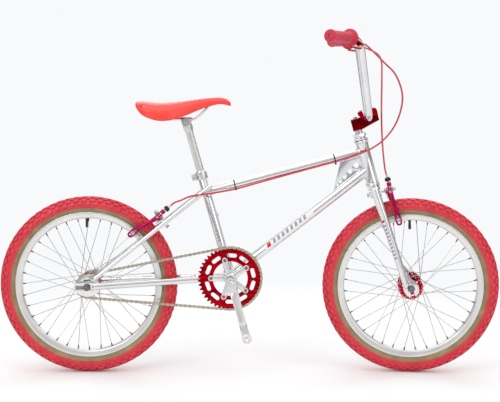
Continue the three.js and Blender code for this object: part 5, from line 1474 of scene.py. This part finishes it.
def on_chain(s):
    """The place on the pitch line a length s on from where the chain meets the ring below."""
    def about(centre, radius, angle):
        """A point on a sprocket's pitch circle."""
        return centre + radius * Vector((cos(angle), 0, sin(angle)))

    s = s % sum(arcs)
    if s < arcs[0]:
        return about(bracket, big, chain_line - wrap + s / big)
    s -= arcs[0]
    if s < arcs[1]:
        from_ring = about(bracket, big, chain_line + wrap)
        return from_ring.lerp(about(rear_axle, small, chain_line + wrap), s / arcs[1])
    s -= arcs[1]
    if s < arcs[2]:
        return about(rear_axle, small, chain_line + wrap + s / small)
    from_wheel = about(rear_axle, small, chain_line - wrap)
    return from_wheel.lerp(about(bracket, big, chain_line - wrap), (s - arcs[2]) / arcs[3])


LINKS = 2 * round(sum(arcs) / PITCH / 2)
first_seat = ceil((chain_line - wrap) / (tau / RING_TEETH)) * tau / RING_TEETH - (chain_line - wrap)
LINK_END = 4.1  # the radius of a link plate's round ends
end_turns = [radians(d) for d in (110, 60, 20, -20, -60, -110)]
link_far = [(-LINK_END * cos(t), -LINK_END * sin(t)) for t in end_turns]
bm = bmesh.new()
for i in range(LINKS):
    a, b = (on_chain(first_seat * big + sum(arcs) * (i + k) / LINKS) for k in (0, 1))
    heading = Matrix.Rotation(-atan2(b.z - a.z, b.x - a.x), 4, "Y")
    at_link = Matrix.Translation(a) @ heading
    length = (b - a).length
    waist = [(length * t, 2.3) for t in (0.4, 0.5, 0.6)]
    near = [(length + LINK_END * cos(t), LINK_END * sin(t)) for t in end_turns]
    shape = [*near, *[(u, -w) for u, w in reversed(waist)], *link_far, *waist]
    depth = 3.3 if i % 2 else 2.2
    for y in (-depth, depth):
        flat(bm, [shape], 0.95, at_link @ upright(CHAIN_Y + y), 0)
    rod(bm, a + Y_AXIS * (CHAIN_Y - 1.7), a + Y_AXIS * (CHAIN_Y + 1.7), 3.9, sides=14)
    rod(bm, a + Y_AXIS * (CHAIN_Y - 4.3), a + Y_AXIS * (CHAIN_Y + 4.3), 1.8, sides=10)
piece("chain_links", bm, chain_nickel, "frame", ["chain"])


# ---------- brake cables ----------
# Wound steel housings in a raspberry vinyl sleeve with steel ferrules. The rear one loops from
# the right lever, in front of the head tube, back under the top tube to the rear brake.
sleeve = rubber("raspberry vinyl sleeve", "#cf3f45", "#b92f36", 0.38)
to_bike = BIKE.inverted()


def lever_exits(hand):
    """The first two points of a cable that leaves its lever's barrel."""
    return [to_bike @ LEVER[hand] @ Vector((x, y, 0)) for x, y in ((26, -19), (27, -34))]


def adjuster_top(end):
    """The last two points of a cable that enters its brake's barrel from above."""
    at, standoff = BRAKES[end][0], BRAKES[end][2]
    x = standoff + 1.5 * ARM_THICKNESS + ARM_GAP
    return [to_bike @ at @ Vector((x, -27, z)) for z in (60, 39)]


REAR_LOOP = [
    (827, -106, 888), (857, -84, 862), (877, -66, 827), (886, -51, 791), (880, -39, 746),
    (863, -31, 706), (834, -27, 671), (801, -24.5, 648), (773, -22.5, 635.5), (744, -18, 624),
    (707, -14, 612.7),
]
REAR_RUN = [
    (707, -14, 612.7), (640, -13.5, 594), (574, -13.5, 575.5), (500, -13.5, 554.5), (420, -14, 532),
    (375, -24, 524), (335, -31.5, 518), (291, -33.5, 511.5), (262, -30, 499),
]
FRONT_LINE = [(836, 98, 919), (842, 76, 900), (840, 45, 845), (837, 20, 759), (837, 0, 688),
              (839, -14, 640)]
routes = {
    "rear_brake_cable_loop": ([*lever_exits("right"), *REAR_LOOP], None),
    "rear_brake_cable_run": ([*REAR_RUN, *adjuster_top("rear")], "frame"),
    "front_brake_cable": ([*lever_exits("left"), *FRONT_LINE, *adjuster_top("front")], "steering"),
}
for name, (route, body) in routes.items():
    bm = bmesh.new()
    line = smooth_route(route, 4)
    swept(bm, line, CABLE_RADIUS, detail=3)
    made = piece(name + "_housing", bm, sleeve, body, [name])
    if not body:
        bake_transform(made)
for name, (first, second), body in [
    ("right_lever", lever_exits("right"), "steering"),
    ("left_lever", lever_exits("left"), "steering"),
    ("rear_brake", adjuster_top("rear")[::-1], "frame"),
    ("front_brake", adjuster_top("front")[::-1], "steering"),
]:
    bm = bmesh.new()
    turned(bm, first, second, [(2.2, 0), (3.3, 0), (3.3, 8), (2.8, 9), (2.2, 9), (2.2, 0)], 20)
    piece(name + "_ferrule", bm, steel, body)
